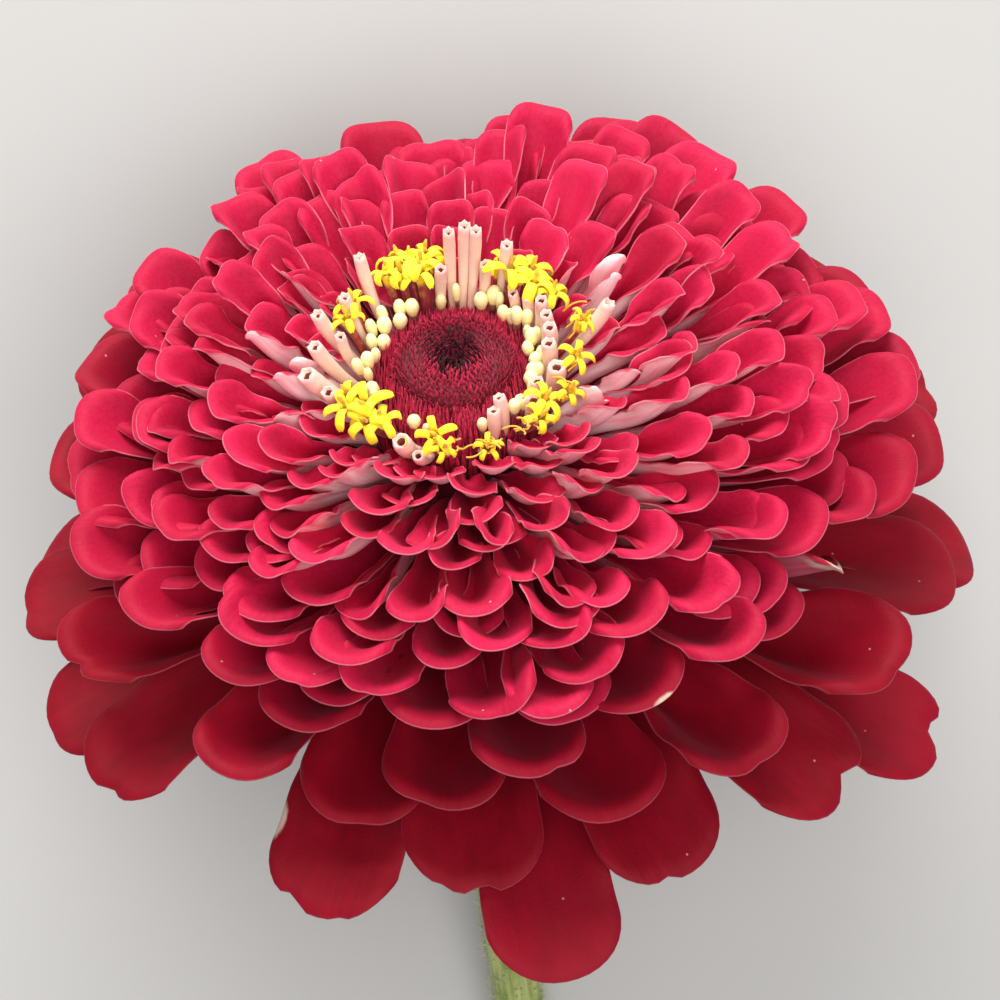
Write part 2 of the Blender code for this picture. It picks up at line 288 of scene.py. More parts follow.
# the flank of the receptacle, where the petals are seated
SEAT_HEIGHTS = np.array((2.0, 18.0, 33.2)) * MM
SEAT_RADII = np.array((11.2, 9.8, 8.6)) * MM
PETAL_ROWS = 30
PETAL_COLUMNS = 19
ROW_CROWDING = 1.6
PETAL_THICKNESS = 0.34 * MM
RIM_THICKNESS_SHARE = 0.45
RIM_TAPER = 1.5 * MM
# petals that meet the table lie on it in layers, each a share of a CAD petal's thickness up
CAD_THICKNESS = 0.5 * MM
PRESS_SOFTNESS = 1.2 * MM
PRESS_FIRST = 0.15
PRESS_STEP = 0.12
RIM_SCALE = 4 * MM
PETAL_UV_SIDE = 50 * MM
PETAL_UV_STEP = 0.37


def by_age(age, values):
    """The value at an age, read off a row of values for RAY_AGES."""
    return np.interp(age, RAY_AGES, values)


def smooth_step(x):
    """Eases from 0 to 1 as x goes from 0 to 1: three x squared less two x cubed."""
    x = np.clip(x, 0, 1)
    return x * x * (3 - 2 * x)


def running_sum(values, steps):
    """The integral of values over steps, from zero, by trapezoids, along the last axis."""
    parts = (values[..., 1:] + values[..., :-1]) / 2 * np.diff(steps)
    start = np.zeros((*values.shape[:-1], 1))
    return np.concatenate((start, np.cumsum(parts, axis=-1)), axis=-1)


def pressed(points, clearance):
    """Head points, with those that would go through the table bent up onto it.

    A point rises by half of what its height lacks to the root of its square plus the
    softness squared: nothing well above the table, all of its depth well below it.
    """
    up = head_axes[:, 2]
    height = head_origin[2] + points @ up - clearance
    lift = (np.sqrt(height**2 + PRESS_SOFTNESS**2) - height) / 2
    return points + lift[..., None] * up


petal_across = np.sin(np.linspace(-1, 1, PETAL_COLUMNS) * math.pi / 2)


def waved(along, wave, turns):
    """A sine along the petal, started by the petal's own wave and by the side it is on."""
    along_turns, own_start, side_start = turns
    return np.sin(along * along_turns + own_start * wave + side_start * np.sign(petal_across))


def petal_surface(age, azimuth, length, lift_angle, clearance, character, nicks):
    """The middle surface of one petal, as rows by columns of points in the head's frame.

    It comes with each point's distance from the nearest edge, and its place on the flat.
    Each column leaves the receptacle at the claw's rise and arches over to the tip's, with a
    scoop near the end and a lip that rolls back over its last share. Each cross-section is a
    channel: its slope grows from the middle to the cup angle at the walls, and falls to
    nothing at the lips. A round tip comes from pulling each row back towards its two sides.
    """
    breadth, cup_share, twist, roll, bend, skew, wave, notch = character
    across = petal_across
    row = (1 - (1 - np.linspace(0, 1, PETAL_ROWS)) ** ROW_CROWDING)[:, None]
    half = by_age(age, RAY_WIDTH) / 2 * (1 + breadth)
    rounding = 1 - np.sqrt(1 - TIP_BLUNTNESS * np.abs(across) ** TIP_POWER)
    pulled = half / length * rounding + notch * np.exp(-((across / NOTCH_REACH) ** 2))
    for place, reach, depth in nicks:
        pulled = pulled + depth * np.exp(-(((across - place) / reach) ** 2))
    along = row * (1 - pulled * row**2)

    claw_rise = by_age(age, RAY_RISE_AT_CLAW) + lift_angle
    tip_rise = by_age(age, RAY_RISE_AT_TIP) + lift_angle
    scoop = by_age(age, RAY_SCOOP)
    rise = claw_rise + (tip_rise - claw_rise) * along
    rise = rise + scoop * (smooth_step((row - SCOOP_START) / SCOOP_SPAN) - SCOOP_BALANCE)
    rise = rise - (scoop + LIP_ROLL) * smooth_step((row - 1 + LIP_SHARE) / LIP_SHARE)
    out = length * running_sum(np.cos(rise).T, along.T).T
    up = length * running_sum(np.sin(rise).T, along.T).T

    side_roll = math.cos(azimuth) ** 2 * smooth_step((age - SIDE_ROLL_AGE) / SIDE_ROLL_SPAN)
    flatness = max(0.0, math.cos(azimuth - FRONT))
    flatness = flatness * smooth_step((age - SIDE_ROLL_AGE) / FRONT_FLATTENING_SPAN)
    cup = by_age(age, RAY_CUP) * (1 + cup_share) * (1 - FRONT_FLATTENING * flatness)
    opening = smooth_step((row - TIP_OPENING_START) / (1 - TIP_OPENING_START))
    cup = (cup + SIDE_ROLL * side_roll) * (1 - TIP_OPENING * opening)
    claw = np.clip(1 - along / CLAW_SHARE, 0, 1)
    cup = cup + (CLAW_CUP - cup) * claw**CLAW_FADE
    wall = np.sin(np.minimum(np.abs(across) / WALL_SHARE, 1) * math.pi / 2) * np.sign(across)
    edge = smooth_step((np.abs(across) - WALL_SHARE) / (1 - WALL_SHARE))
    slope = cup * (wall * (1 - EDGE_TURN * edge) + skew * (1 - across**2))

    claw_share = CLAW_WIDTH_SHARE + OLD_CLAW_WIDENING * (1 - smooth_step(age / OLD_CLAW_AGE))
    half = half * (claw_share + (1 - claw_share) * smooth_step(along / BLADE_SHARE))
    outline = waved(along, wave, OUTLINE_TURNS) * smooth_step(along / CLAW_SHARE)
    half = half * (1 + OUTLINE_WAVE * outline)
    side = running_sum(np.cos(slope), across)
    lift = running_sum(np.sin(slope), across)
    centre = PETAL_COLUMNS // 2
    side = half * (side - side[:, centre : centre + 1])
    lift = half * (lift - lift[:, centre : centre + 1])
    ripple = waved(along, wave, LONG_RIPPLE_TURNS)
    ripple = ripple + SHORT_RIPPLE * waved(along, wave, SHORT_RIPPLE_TURNS)
    ripple = ripple * np.abs(across) ** 3 * smooth_step(along / RIPPLE_SPAN)
    lift = lift + (RIPPLE_LEAST + (1 - RIPPLE_LEAST) * abs(wave)) * RIPPLE * ripple
    turn = roll - by_age(age, RAY_SIDE_TILT) * math.cos(azimuth) + twist * along**1.2
    turned = side * np.cos(turn) - lift * np.sin(turn)
    lift = side * np.sin(turn) + lift * np.cos(turn)
    side = turned + bend * length * along**2

    seat = by_age(age, RAY_SEAT)
    seat_radius = np.interp(seat, SEAT_HEIGHTS, SEAT_RADII) + SEAT_CLEARANCE
    radius = seat_radius + out - lift * np.sin(rise)
    x = radius * np.cos(azimuth) - side * np.sin(azimuth)
    y = radius * np.sin(azimuth) + side * np.cos(azimuth)
    points = np.stack((x, y, seat + up + lift * np.cos(rise)), axis=-1)
    margin = np.minimum(half * (1 - np.abs(across)), length * (along[-1:] - along))
    flat = np.stack((np.broadcast_to(half * across, along.shape), along * length), axis=-1)
    return pressed(points, clearance), margin, flat


def shell_of(points, thickness):
    """Vertices and faces of a grid thickened to both sides, with a rounded rim all round.

    The upper sheet is the grid moved along its normals, the lower one is moved against them,
    and the rim's middle line stands out from the grid's border by half the thickness.
    """
    rows, columns = points.shape[:2]
    normals = np.cross(np.gradient(points, axis=0), np.gradient(points, axis=1))
    normals /= np.linalg.norm(normals, axis=-1, keepdims=True) + 1e-12
    index = np.arange(rows * columns).reshape(rows, columns)
    border = np.concatenate((index[0, :-1], index[:-1, -1], index[-1, :0:-1], index[:0:-1, 0]))
    inner = np.stack(np.unravel_index(border, (rows, columns)), axis=-1)
    inner = np.clip(inner, 1, (rows - 2, columns - 2))
    flat = points.reshape(-1, 3)
    outward = flat[border] - points[inner[:, 0], inner[:, 1]]
    outward /= np.linalg.norm(outward, axis=-1, keepdims=True) + 1e-12
    offset = (normals * thickness[..., None] / 2).reshape(-1, 3)
    rim = flat[border] + outward * thickness.reshape(-1)[border][:, None] / 2
    vertices = np.concatenate((flat + offset, flat - offset, rim))
    upper = np.stack((index[:-1, :-1], index[1:, :-1], index[1:, 1:], index[:-1, 1:]), axis=-1)
    upper = upper.reshape(-1, 4)
    below = rows * columns
    following = np.roll(border, -1)
    middle_line = np.arange(len(border)) + 2 * below
    next_middle = np.roll(middle_line, -1)
    over = np.stack((border, following, next_middle, middle_line), axis=-1)
    under = np.stack((middle_line, next_middle, following + below, border + below), axis=-1)
    return vertices, np.concatenate((upper, upper[:, ::-1] + below, over, under)), border


def add_piece(name, vertices, faces, tone, material, replaced, uv=None):
    """One finished smooth piece from arrays, with a tone, and perhaps a uv, at each vertex."""
    mesh = bpy.data.meshes.new(name)
    mesh.from_pydata(vertices.tolist(), [], faces.tolist())
    mesh.shade_smooth()
    if uv is not None:
        corners = np.empty(len(mesh.loops), np.int32)
        mesh.loops.foreach_get("vertex_index", corners)
        layer = mesh.uv_layers.new(name="surface")
        layer.data.foreach_set("uv", uv[corners].astype(np.float32).reshape(-1))
    layer = mesh.attributes.new("tone", "FLOAT_COLOR", "POINT")
    layer.data.foreach_set("color", tone.astype(np.float32).reshape(-1))
    mesh.materials.append(material)
    made = new_object(name, mesh)
    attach(made, "root")
    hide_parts(*replaced)


def mixed(tree, factor, first, second):
    """The colour between first and second by factor; each of the two is a colour or a socket."""
    ends = [(*end, 1.0) if isinstance(end, tuple) else end for end in (first, second)]
    inputs = {0: factor, 6: ends[0], 7: ends[1]}
    return add_node(tree, "Mix", inputs, data_type="RGBA").outputs[2]


def ramped(tree, value, low, high, to_low=0.0, to_high=1.0):
    """A value eased from low..high to to_low..to_high."""
    inputs = {"Value": value, "From Min": low, "From Max": high}
    inputs |= {"To Min": to_low, "To Max": to_high}
    return add_node(tree, "MapRange", inputs, interpolation_type="SMOOTHSTEP").outputs[0]


def blended(tree, value, low, high, first, second, most=1.0):
    """The colour that goes from first towards second as a value goes from low to high."""
    return mixed(tree, ramped(tree, value, low, high, 0.0, most), first, second)


def maths(tree, operation, *values):
    """The result of one operation on two or three values."""
    return add_node(tree, "Math", dict(enumerate(values)), operation=operation).outputs[0]


def tone_channels(tree):
    """The four numbers of a piece's own tone attribute."""
    tone = add_node(tree, "Attribute", attribute_name="tone")
    parts = add_node(tree, "SeparateColor", {"Color": tone.outputs["Color"]})
    return (*parts.outputs, tone.outputs["Alpha"])


def object_place(tree):
    """Object coordinates, which are the row frame's own metres on every piece."""
    return add_node(tree, "TexCoord").outputs["Object"]


def noise(tree, place, scale, detail):
    """Cloudy values about a half, with so many clouds to a unit of place."""
    inputs = {"Vector": place, "Scale": scale, "Detail": detail}
    return add_node(tree, "TexNoise", inputs).outputs[0]


def surface_noise(tree, across, along, detail):
    """Cloudy values on the piece's own uv, drawn out by different scales across and along."""
    surface = add_node(tree, "UVMap", uv_map="surface").outputs[0]
    inputs = {"Vector": surface, "Scale": (across, along, 1.0)}
    return noise(tree, add_node(tree, "Mapping", inputs).outputs[0], 1.0, detail)


def coat(tree, tint, relief=None, strength=0.0, depth=0.0):
    """Gives the tree's shader its colour, and a bump where there is a relief."""
    shader = tree.nodes["Principled BSDF"]
    tree.links.new(tint, shader.inputs["Base Color"])
    if relief is not None:
        inputs = {"Height": relief, "Strength": strength, "Distance": depth}
        bump = add_node(tree, "Bump", inputs)
        tree.links.new(bump.outputs[0], shader.inputs["Normal"])


def petal_material():
    """Crimson velvet above, dusty pink below, pale at the rim, with fine veins along the petal.

    The old petals' darker crimson is partly painted shade, the young undersides' pale pink is
    partly painted light through the petal, and the pale rim is partly a painted highlight.
    """
    material, tree = principled(
        "petal_velvet",
        (0.5, 0.01, 0.05),
        0.6,
        Sheen_Weight=0.08,
        Sheen_Roughness=0.4,
        Sheen_Tint=(1.0, 0.4, 0.6, 1.0),
        Specular_IOR_Level=0.15,
    )
    side, margin, wither, age = tone_channels(tree)
    veins = surface_noise(tree, 70.0, 5.0, 3.0)
    clouds = surface_noise(tree, 14.0, 7.0, 4.0)
    flecks = surface_noise(tree, 110.0, 80.0, 2.0)
    by_own_age = {"W": age, "Scale": 170.0, "Detail": 0.0}
    own = add_node(tree, "TexNoise", by_own_age, noise_dimensions="1D").outputs[0]

    # the older petals' deep crimson, and the brighter pink the younger ones go to, are partly their
    # own colours and partly painted shade on the old petals under the dome
    upper = blended(tree, clouds, 0.25, 0.75, (0.195, 0.0013, 0.008), (0.29, 0.002, 0.014))
    upper = blended(tree, veins, 0.35, 0.7, upper, (0.24, 0.001, 0.012), 0.35)
    upper = blended(tree, age, 0.16, 0.5, upper, (0.70, 0.014, 0.085), 0.62)
    upper = blended(tree, flecks, 0.3, 0.75, upper, (0.25, 0.002, 0.014), 0.3)
    ripe = ramped(tree, age, 0.12, 0.4, 0.0, 0.3)
    paler = maths(tree, "MULTIPLY", ramped(tree, own, 0.55, 0.85), ripe)
    upper = mixed(tree, paler, upper, (0.80, 0.022, 0.10))
    upper = blended(tree, own, 0.48, 0.2, upper, (0.33, 0.003, 0.02), 0.35)

    old = blended(tree, clouds, 0.3, 0.7, (0.24, 0.022, 0.035), (0.40, 0.05, 0.085))
    # the grown and young petals' pink undersides, and the innermost ones' near white, are partly their
    # own colour and partly painted light shining through the thin petal
    grown = blended(tree, veins, 0.3, 0.7, (0.95, 0.30, 0.40), (0.76, 0.10, 0.19))
    young_with_painted_backlight = blended(tree, veins, 0.35, 0.75, (1.0, 0.68, 0.71), (1.0, 0.27, 0.34))
    lower = blended(tree, age, 0.15, 0.5, old, grown)
    lower = blended(tree, age, 0.5, 0.85, lower, young_with_painted_backlight)
    lower = blended(tree, age, 0.86, 0.97, lower, (1.0, 0.90, 0.90), 0.45)
    body = blended(tree, side, 0.3, 0.7, upper, lower)

    # the pale line along each rim is partly the petal's own pale edge and partly a painted highlight
    # on the velvet
    rim_pallor_and_highlight = ramped(tree, age, 0.05, 0.6, 0.10, 0.5)
    rim = maths(tree, "MULTIPLY", ramped(tree, margin, 0.0, 0.03, 1.0, 0.0), rim_pallor_and_highlight)
    body = mixed(tree, rim, body, (0.80, 0.28, 0.34))
    surface = add_node(tree, "UVMap", uv_map="surface").outputs[0]
    cells = add_node(tree, "TexVoronoi", {"Vector": surface, "Scale": 30.0})
    chosen = add_node(tree, "SeparateColor", {"Color": cells.outputs["Color"]})
    chosen = ramped(tree, chosen.outputs[0], 0.965, 0.975)
    dot = ramped(tree, cells.outputs["Distance"], 0.04, 0.11, 0.5, 0.0)
    body = mixed(tree, maths(tree, "MULTIPLY", chosen, dot), body, (0.85, 0.55, 0.45))
    patchy = maths(tree, "ADD", wither, maths(tree, "MULTIPLY_ADD", clouds, 0.9, -0.45))
    body = blended(tree, patchy, 0.4, 0.7, body, (0.62, 0.46, 0.36))
    grain = noise(tree, object_place(tree), 3500.0, 1.0)
    relief = maths(tree, "MULTIPLY_ADD", veins, 2.0, grain)
    coat(tree, body, relief, 0.25, 0.15 * MM)
    return material


petal_velvet = petal_material()
petal_spread = np.random.default_rng(RAY_SEED).uniform(-1, 1, (RAY_COUNT, 3))
petal_character = np.random.default_rng(RAY_CHARACTER_SEED).uniform(-1, 1, (RAY_COUNT, 8))


def petal(index):
    """Vertices, faces, uv and tone of the petal that grew index-th, in the row frame.

    Its age rises evenly over the lowest petals, and then by a power of its place among the
    rest. Its azimuth is so many golden angles, and its size comes from its age, with its
    own small seeded differences.
    """
    joined_index = max(0, index - SEPARATE_RAYS)
    age = (index - joined_index) / (CAD_RAY_COUNT - 1)
    age = age + (1 - age) * (joined_index / (RAY_COUNT - 1 - SEPARATE_RAYS)) ** RAY_AGE_BIAS
    loose = min(1.0, joined_index / LOOSE_SPAN)
    turn_share, rise_share, length_share = petal_spread[index]
    azimuth = FIRST_AZIMUTH + index * GOLDEN_ANGLE + math.radians(RAY_TURNS.get(index, 0))
    azimuth += RAY_TURN_SPREAD * (1 + loose) * turn_share
    faces_front = max(0.0, math.cos(azimuth - FRONT))
    reach = 1 - FRONT_SHORTENING * faces_front + RIGHT_LENGTHENING * math.cos(azimuth)
    length_spread = RAY_LENGTH_SPREAD * (1 + YOUNG_LENGTH_SPREAD * loose)
    length = by_age(age, RAY_LENGTH) * reach * RAY_TRIMS.get(index, 1 + length_spread * length_share)
    lift_angle = RAY_RISE_SPREAD * (1 + loose) * rise_share
    clearance = CAD_THICKNESS * (PRESS_FIRST + index * PRESS_STEP)
    breadth, cup_share, twist, roll, bend, skew, wave, notch = petal_character[index]
    fold = math.radians(RAY_FOLDS.get(index, 0))
    narrowing = FOLD_NARROWING * abs(fold) + RAY_SLIMMING.get(index, 0)
    young_roll = loose * age * min(1.0, ROLL_FADE * (1 - age))
    character = (
        (BREADTH_SPREAD[0] + BREADTH_SPREAD[1] * loose) * breadth - narrowing,
        CUP_SPREAD * cup_share,
        (TWIST_SPREAD[0] + TWIST_SPREAD[1] * loose) * twist,
        (ROLL_SPREAD[0] + ROLL_SPREAD[1] * young_roll) * roll + fold,
        BEND_SPREAD * bend,
        SKEW_SPREAD * skew,
        wave,
        NOTCH_DEPTH * max(0.0, notch),
    )
    nicks = [nick for of_petal, *nick in RAY_NICKS if of_petal == index]
    points, margin, flat = petal_surface(
        age, azimuth, length, lift_angle, clearance, character, nicks
    )
    fullness = RIM_THICKNESS_SHARE + (1 - RIM_THICKNESS_SHARE) * np.clip(margin / RIM_TAPER, 0, 1)
    vertices, faces, border = shell_of(in_row_frame(points), PETAL_THICKNESS * fullness)
    uv = flat.reshape(-1, 2) / PETAL_UV_SIDE + (0.5, index * PETAL_UV_STEP % 1)
    edge = np.clip(margin / RIM_SCALE, 0, 1).reshape(-1)
    sides = np.concatenate((np.zeros(len(edge)), np.ones(len(edge)), np.full(len(border), 0.5)))
    edges = np.concatenate((edge, edge, np.zeros(len(border))))
    wither = np.zeros(flat.shape[:2])
    if index in RAY_SCARS:
        at_along, at_across, reach_along, reach_across = RAY_SCARS[index]
        from_tip = (flat[..., 1] / length - at_along) / reach_along
        from_side = (petal_across - at_across) / reach_across
        wither = np.exp(-(from_tip**2) - from_side**2)
    wither = wither.reshape(-1)
    withers = np.concatenate((wither, wither, wither[border]))
    tone = np.stack((sides, edges, withers, np.full(len(sides), age)), axis=-1)
    return vertices, faces, np.concatenate((uv, uv, uv[border])), tone


def joined(parts):
    """Several (vertices, faces, uv, tone) made one."""
    vertices, faces, uvs, tones = zip(*parts)
    starts = np.cumsum([0] + [len(points) for points in vertices[:-1]])
    faces = [quads + start for quads, start in zip(faces, starts)]
    return [np.concatenate(arrays) for arrays in (vertices, faces, uvs, tones)]


# the lowest petals are pieces of their own, the younger ones are joined whorl by whorl
petal_pieces = [
    (f"petal_{number:02d}", f"ray_{number:02d}", (number - 1, number))
    for number in range(1, SEPARATE_RAYS + 1)
]
petal_pieces += [
    (f"petal_whorl_{number}", f"ray_whorl_{number}", ends)
    for number, ends in enumerate(zip(WHORL_STARTS, WHORL_STARTS[1:]), start=1)
]
for name, replaced, ends in petal_pieces:
    vertices, faces, uv, tone = joined([petal(index) for index in range(*ends)])
    add_piece(name, vertices, faces, tone, petal_velvet, [replaced], uv)

# ---------------------------------------------------------------------------------------
# The receptacle: the firm pale-green cone inside the head that every floret grows from.
# A turned body; only slits of it show between the claws of the petals.

RECEPTACLE_PROFILE = MM * np.array((
    (0.0, -6.6), (3.6, -6.6), (7.6, -5.2), (10.6, -1.6), (11.2, 2.0),
    (9.8, 18.0), (8.6, 33.2), (8.2, 34.6), (7.2, 35.4), (0.0, 35.6),
))
TURN_ROWS = 40
TURN_SIDES = 48
LEAST_RADIUS = 0.02 * MM
MAROON_START = 5 * MM
MAROON_REACH = 9 * MM
RECEPTACLE_GREEN = (0.42, 0.44, 0.20)


def tube_faces(rows, sides):
    """Quads of a closed tube of rings: its walls, and a cap of quads over each end ring."""
    ring = np.arange(sides)
    start = np.arange(rows - 1)[:, None] * sides
    above = start + sides
    turned = np.roll(ring, -1)
    walls = np.stack((start + ring, start + turned, above + turned, above + ring), axis=-1)
    half = np.arange(sides // 2 - 1)
    cap = np.stack((half, half + 1, sides - 2 - half, sides - 1 - half), axis=-1)
    return np.concatenate((walls.reshape(-1, 4), cap[:, ::-1], cap + (rows - 1) * sides))


def arc_lengths(path):
    """How far along a path, or a profile, each of its points is."""
    return np.concatenate(([0], np.cumsum(np.linalg.norm(np.diff(path, axis=0), axis=-1))))


def round_axis(radius, angle, height):
    """Points at a radius and an angle round the head's axis, and at a height on it."""
    parts = np.broadcast_arrays(radius * np.cos(angle), radius * np.sin(angle), height)
    return np.stack(parts, axis=-1)


def turned_body(profile):
    """Vertices and faces of a profile of radius and height, turned round the axis.

    The profile is resampled at equal steps of its own length, and each ring is a circle.
    """
    lengths = arc_lengths(profile)
    even = np.linspace(0, lengths[-1], TURN_ROWS)
    radius = np.maximum(np.interp(even, lengths, profile[:, 0]), LEAST_RADIUS)[:, None]
    height = np.interp(even, lengths, profile[:, 1])[:, None]
    angle = np.arange(TURN_SIDES) / TURN_SIDES * 2 * math.pi
    return round_axis(radius, angle, height).reshape(-1, 3), tube_faces(TURN_ROWS, TURN_SIDES)


def grey_tone(shade):
    """A tone that is one shade per vertex, the same in its first three numbers."""
    return np.stack((shade, shade, shade, np.ones(len(shade))), axis=-1)


def receptacle_material():
    """Two greens of soft flesh in clouds, turning maroon by the tone, with fine cells."""
    material, tree = principled("receptacle_flesh", RECEPTACLE_GREEN, 0.6, Sheen_Weight=0.15)
    place = object_place(tree)
    clouds = noise(tree, place, 400.0, 5.0)
    tint = blended(tree, clouds, 0.3, 0.7, RECEPTACLE_GREEN, (0.28, 0.32, 0.11))
    tint = mixed(tree, tone_channels(tree)[0], tint, (0.22, 0.008, 0.025))
    cells = add_node(tree, "TexVoronoi", {"Vector": place, "Scale": 2400.0}).outputs[0]
    coat(tree, tint, cells, 0.4, 0.1 * MM)
    return material


receptacle_flesh = receptacle_material()
vertices, faces = turned_body(RECEPTACLE_PROFILE)
# the receptacle turns maroon towards its top, where it shows only in slits between the claws
tone = grey_tone(smooth_step((vertices[:, 2] - MAROON_START) / MAROON_REACH))
vertices = in_row_frame(vertices)
add_piece("receptacle_body", vertices, faces, tone, receptacle_flesh, ["receptacle"])

# ---------------------------------------------------------------------------------------
# The disc: a cushion of fringed velvety scales, deep maroon, and nearly black in the dimple,
# where the youngest ones stand as bristles. A fringed scale is three thin spikes, and all
# of them stand at golden-angle steps over and round the cushion.

CUSHION_PROFILE = MM * np.array((
    (0.0, 38.6), (0.8, 38.9), (1.9, 40.3), (3.2, 41.5), (4.6, 41.9),
    (6.2, 41.3), (7.0, 39.6), (7.1, 36.4), (6.8, 35.0), (0.0, 35.0),
))
CUSHION_CROWN_POINTS = 8
CUSHION_DIMPLE_POINTS = 6
# the cushion body under the scales, and each spike's foot, are toned dark as painted shade
CUSHION_PAINTED_SHADE = 0.3
CROWN_STEPS = 200
SPIKE_SIDES = 4
FOOT_PAINTED_SHADE = 0.3
SCALE_SEED = 3
SCALE_COUNT = 600
SCALE_LENGTH = 1.5 * MM
SCALE_LENGTH_RANGE = (0.75, 1.2)
SCALE_DEPTH = 0.3 * MM
SCALE_SPLAY = 0.6
SCALE_UPRIGHTNESS = 0.75
SCALE_DISORDER = 0.25
SCALE_WIDTHS = np.array((0.16, 0.21, 0.15, 0.03)) * MM
# a scale's spikes: each one's offset in millimetres, fan in degrees and share of the length
SCALE_SPIKES = ((-0.34, -20.0, 0.78), (0.0, 0.0, 1.0), (0.34, 20.0, 0.84))
OUTER_SCALE_COUNT = 1500
OUTER_SCALE_LENGTHS = np.array((5.7, 6.6)) * MM
OUTER_SCALE_RADII = np.array((7.2, 10.2)) * MM
OUTER_SCALE_HEIGHTS = np.array((34.8, 31.4)) * MM
OUTER_SCALE_WIDTHS = np.array((0.28, 0.33, 0.27, 0.04)) * MM
BRISTLE_COUNT = 150
BRISTLE_LENGTHS = np.array((1.2, 2.6)) * MM
BRISTLE_REACH = 2.9 * MM
BRISTLE_DEPTH = 0.1 * MM
BRISTLE_WIDTHS = np.array((0.13, 0.15, 0.1, 0.03)) * MM


def unit(vectors):
    """The vectors' directions: each one over its own length."""
    return vectors / np.linalg.norm(vectors, axis=-1, keepdims=True)


upward = np.array((0.0, 0.0, 1.0))


def golden_steps(count):
    """The directions outward and sidewards, at count golden-angle steps round the axis."""
    angle = np.arange(count) * GOLDEN_ANGLE
    outward = round_axis(1.0, angle, 0.0)
    return outward, np.cross(upward, outward)


def spikes(feet, directions, sidewards, lengths, widths, flatness, curl):
    """Closed tapered spikes, one at each foot: copies by rows by sides of points.

    A spike's rows are equal steps along its direction, bent sidewards by curl times the
    square of the step; each ring is an ellipse with the given widths, thinner by flatness.
    """
    sidewards = unit(sidewards - directions * (sidewards * directions).sum(axis=-1, keepdims=True))
    thin = np.cross(directions, sidewards)[:, None, None]
    step = np.linspace(0, 1, len(widths))[None, :, None, None]
    angle = (np.arange(SPIKE_SIDES) / SPIKE_SIDES * 2 * math.pi)[None, None, :, None]
    axis = directions[:, None, None] * step + thin * curl * step**2
    ring = sidewards[:, None, None] * np.cos(angle) + thin * np.sin(angle) * flatness
    rings = lengths[:, None, None, None] * axis + widths[None, :, None, None] * ring
    return feet[:, None, None] + rings


def merged_spikes(rings):
    """Vertices, faces and tone of many like spikes, toned from painted shade at the foot to the tip.
    """
    copies, rows, sides = rings.shape[:3]
    starts = np.arange(copies)[:, None, None] * rows * sides
    shade = np.tile(np.repeat(np.linspace(FOOT_PAINTED_SHADE, 1, rows), sides), copies)
    return rings.reshape(-1, 3), (tube_faces(rows, sides) + starts).reshape(-1, 4), grey_tone(shade)


def disc_material(name, first, second, roughness, sheen):
    """Velvet of tiny scales, near black with painted shade at their feet, lighter towards the spikes'
    tips.
    """
    material, tree = principled(
        name,
        first,
        roughness,
        Sheen_Weight=sheen,
        Sheen_Roughness=0.5,
        Sheen_Tint=(0.9, 0.25, 0.4, 1.0),
    )
    speckle = noise(tree, object_place(tree), 1600.0, 3.0)
    tint = blended(tree, speckle, 0.35, 0.65, first, second)
    # near black at a low tone: painted shade at the spikes' feet and over the cushion under them
    height = ramped(tree, tone_channels(tree)[0], 0.1, 0.9)
    coat(tree, mixed(tree, height, (0.06, 0.0015, 0.007), tint))
    return material


scale_velvet = disc_material("scale_velvet", (0.28, 0.004, 0.022), (0.60, 0.012, 0.07), 0.7, 0.16)
bristle_dark = disc_material("bristle_dark", (0.012, 0.002, 0.004), (0.05, 0.004, 0.012), 0.6, 0.1)
chaff_chance = np.random.default_rng(SCALE_SEED)

# the fringed scales share the crown's area evenly: its running sum of radius over length
crown = CUSHION_PROFILE[:CUSHION_CROWN_POINTS]
crown_steps = np.linspace(0, 1, CROWN_STEPS)
crown_lengths = arc_lengths(crown)
crown_radius = np.interp(crown_steps * crown_lengths[-1], crown_lengths, crown[:, 0])
crown_height = np.interp(crown_steps * crown_lengths[-1], crown_lengths, crown[:, 1])
crown_area = running_sum(crown_radius, crown_steps)
scale_place = (np.arange(SCALE_COUNT) + 0.5) / SCALE_COUNT * crown_area[-1]
scale_radius, scale_height, slope_out, slope_up = (
    np.interp(scale_place, crown_area, values)[:, None]
    for values in (crown_radius, crown_height, np.gradient(crown_radius), np.gradient(crown_height))
)
outward, sidewards = golden_steps(SCALE_COUNT)
normal = unit(slope_out * upward - slope_up * outward)
lean = SCALE_SPLAY * normal + SCALE_UPRIGHTNESS * upward
lean = unit(lean + chaff_chance.uniform(-SCALE_DISORDER, SCALE_DISORDER, (SCALE_COUNT, 3)))
foot = outward * scale_radius + upward * scale_height - normal * SCALE_DEPTH
spike_sets = []
for offset, fan, share in SCALE_SPIKES:
    tilt = math.radians(fan)
    direction = unit(lean * math.cos(tilt) + sidewards * math.sin(tilt))
    lengths = SCALE_LENGTH * share * chaff_chance.uniform(*SCALE_LENGTH_RANGE, SCALE_COUNT)
    spike_feet = foot + sidewards * offset * MM
    spike_sets.append(spikes(spike_feet, direction, sidewards, lengths, SCALE_WIDTHS, 0.35, 0.15))

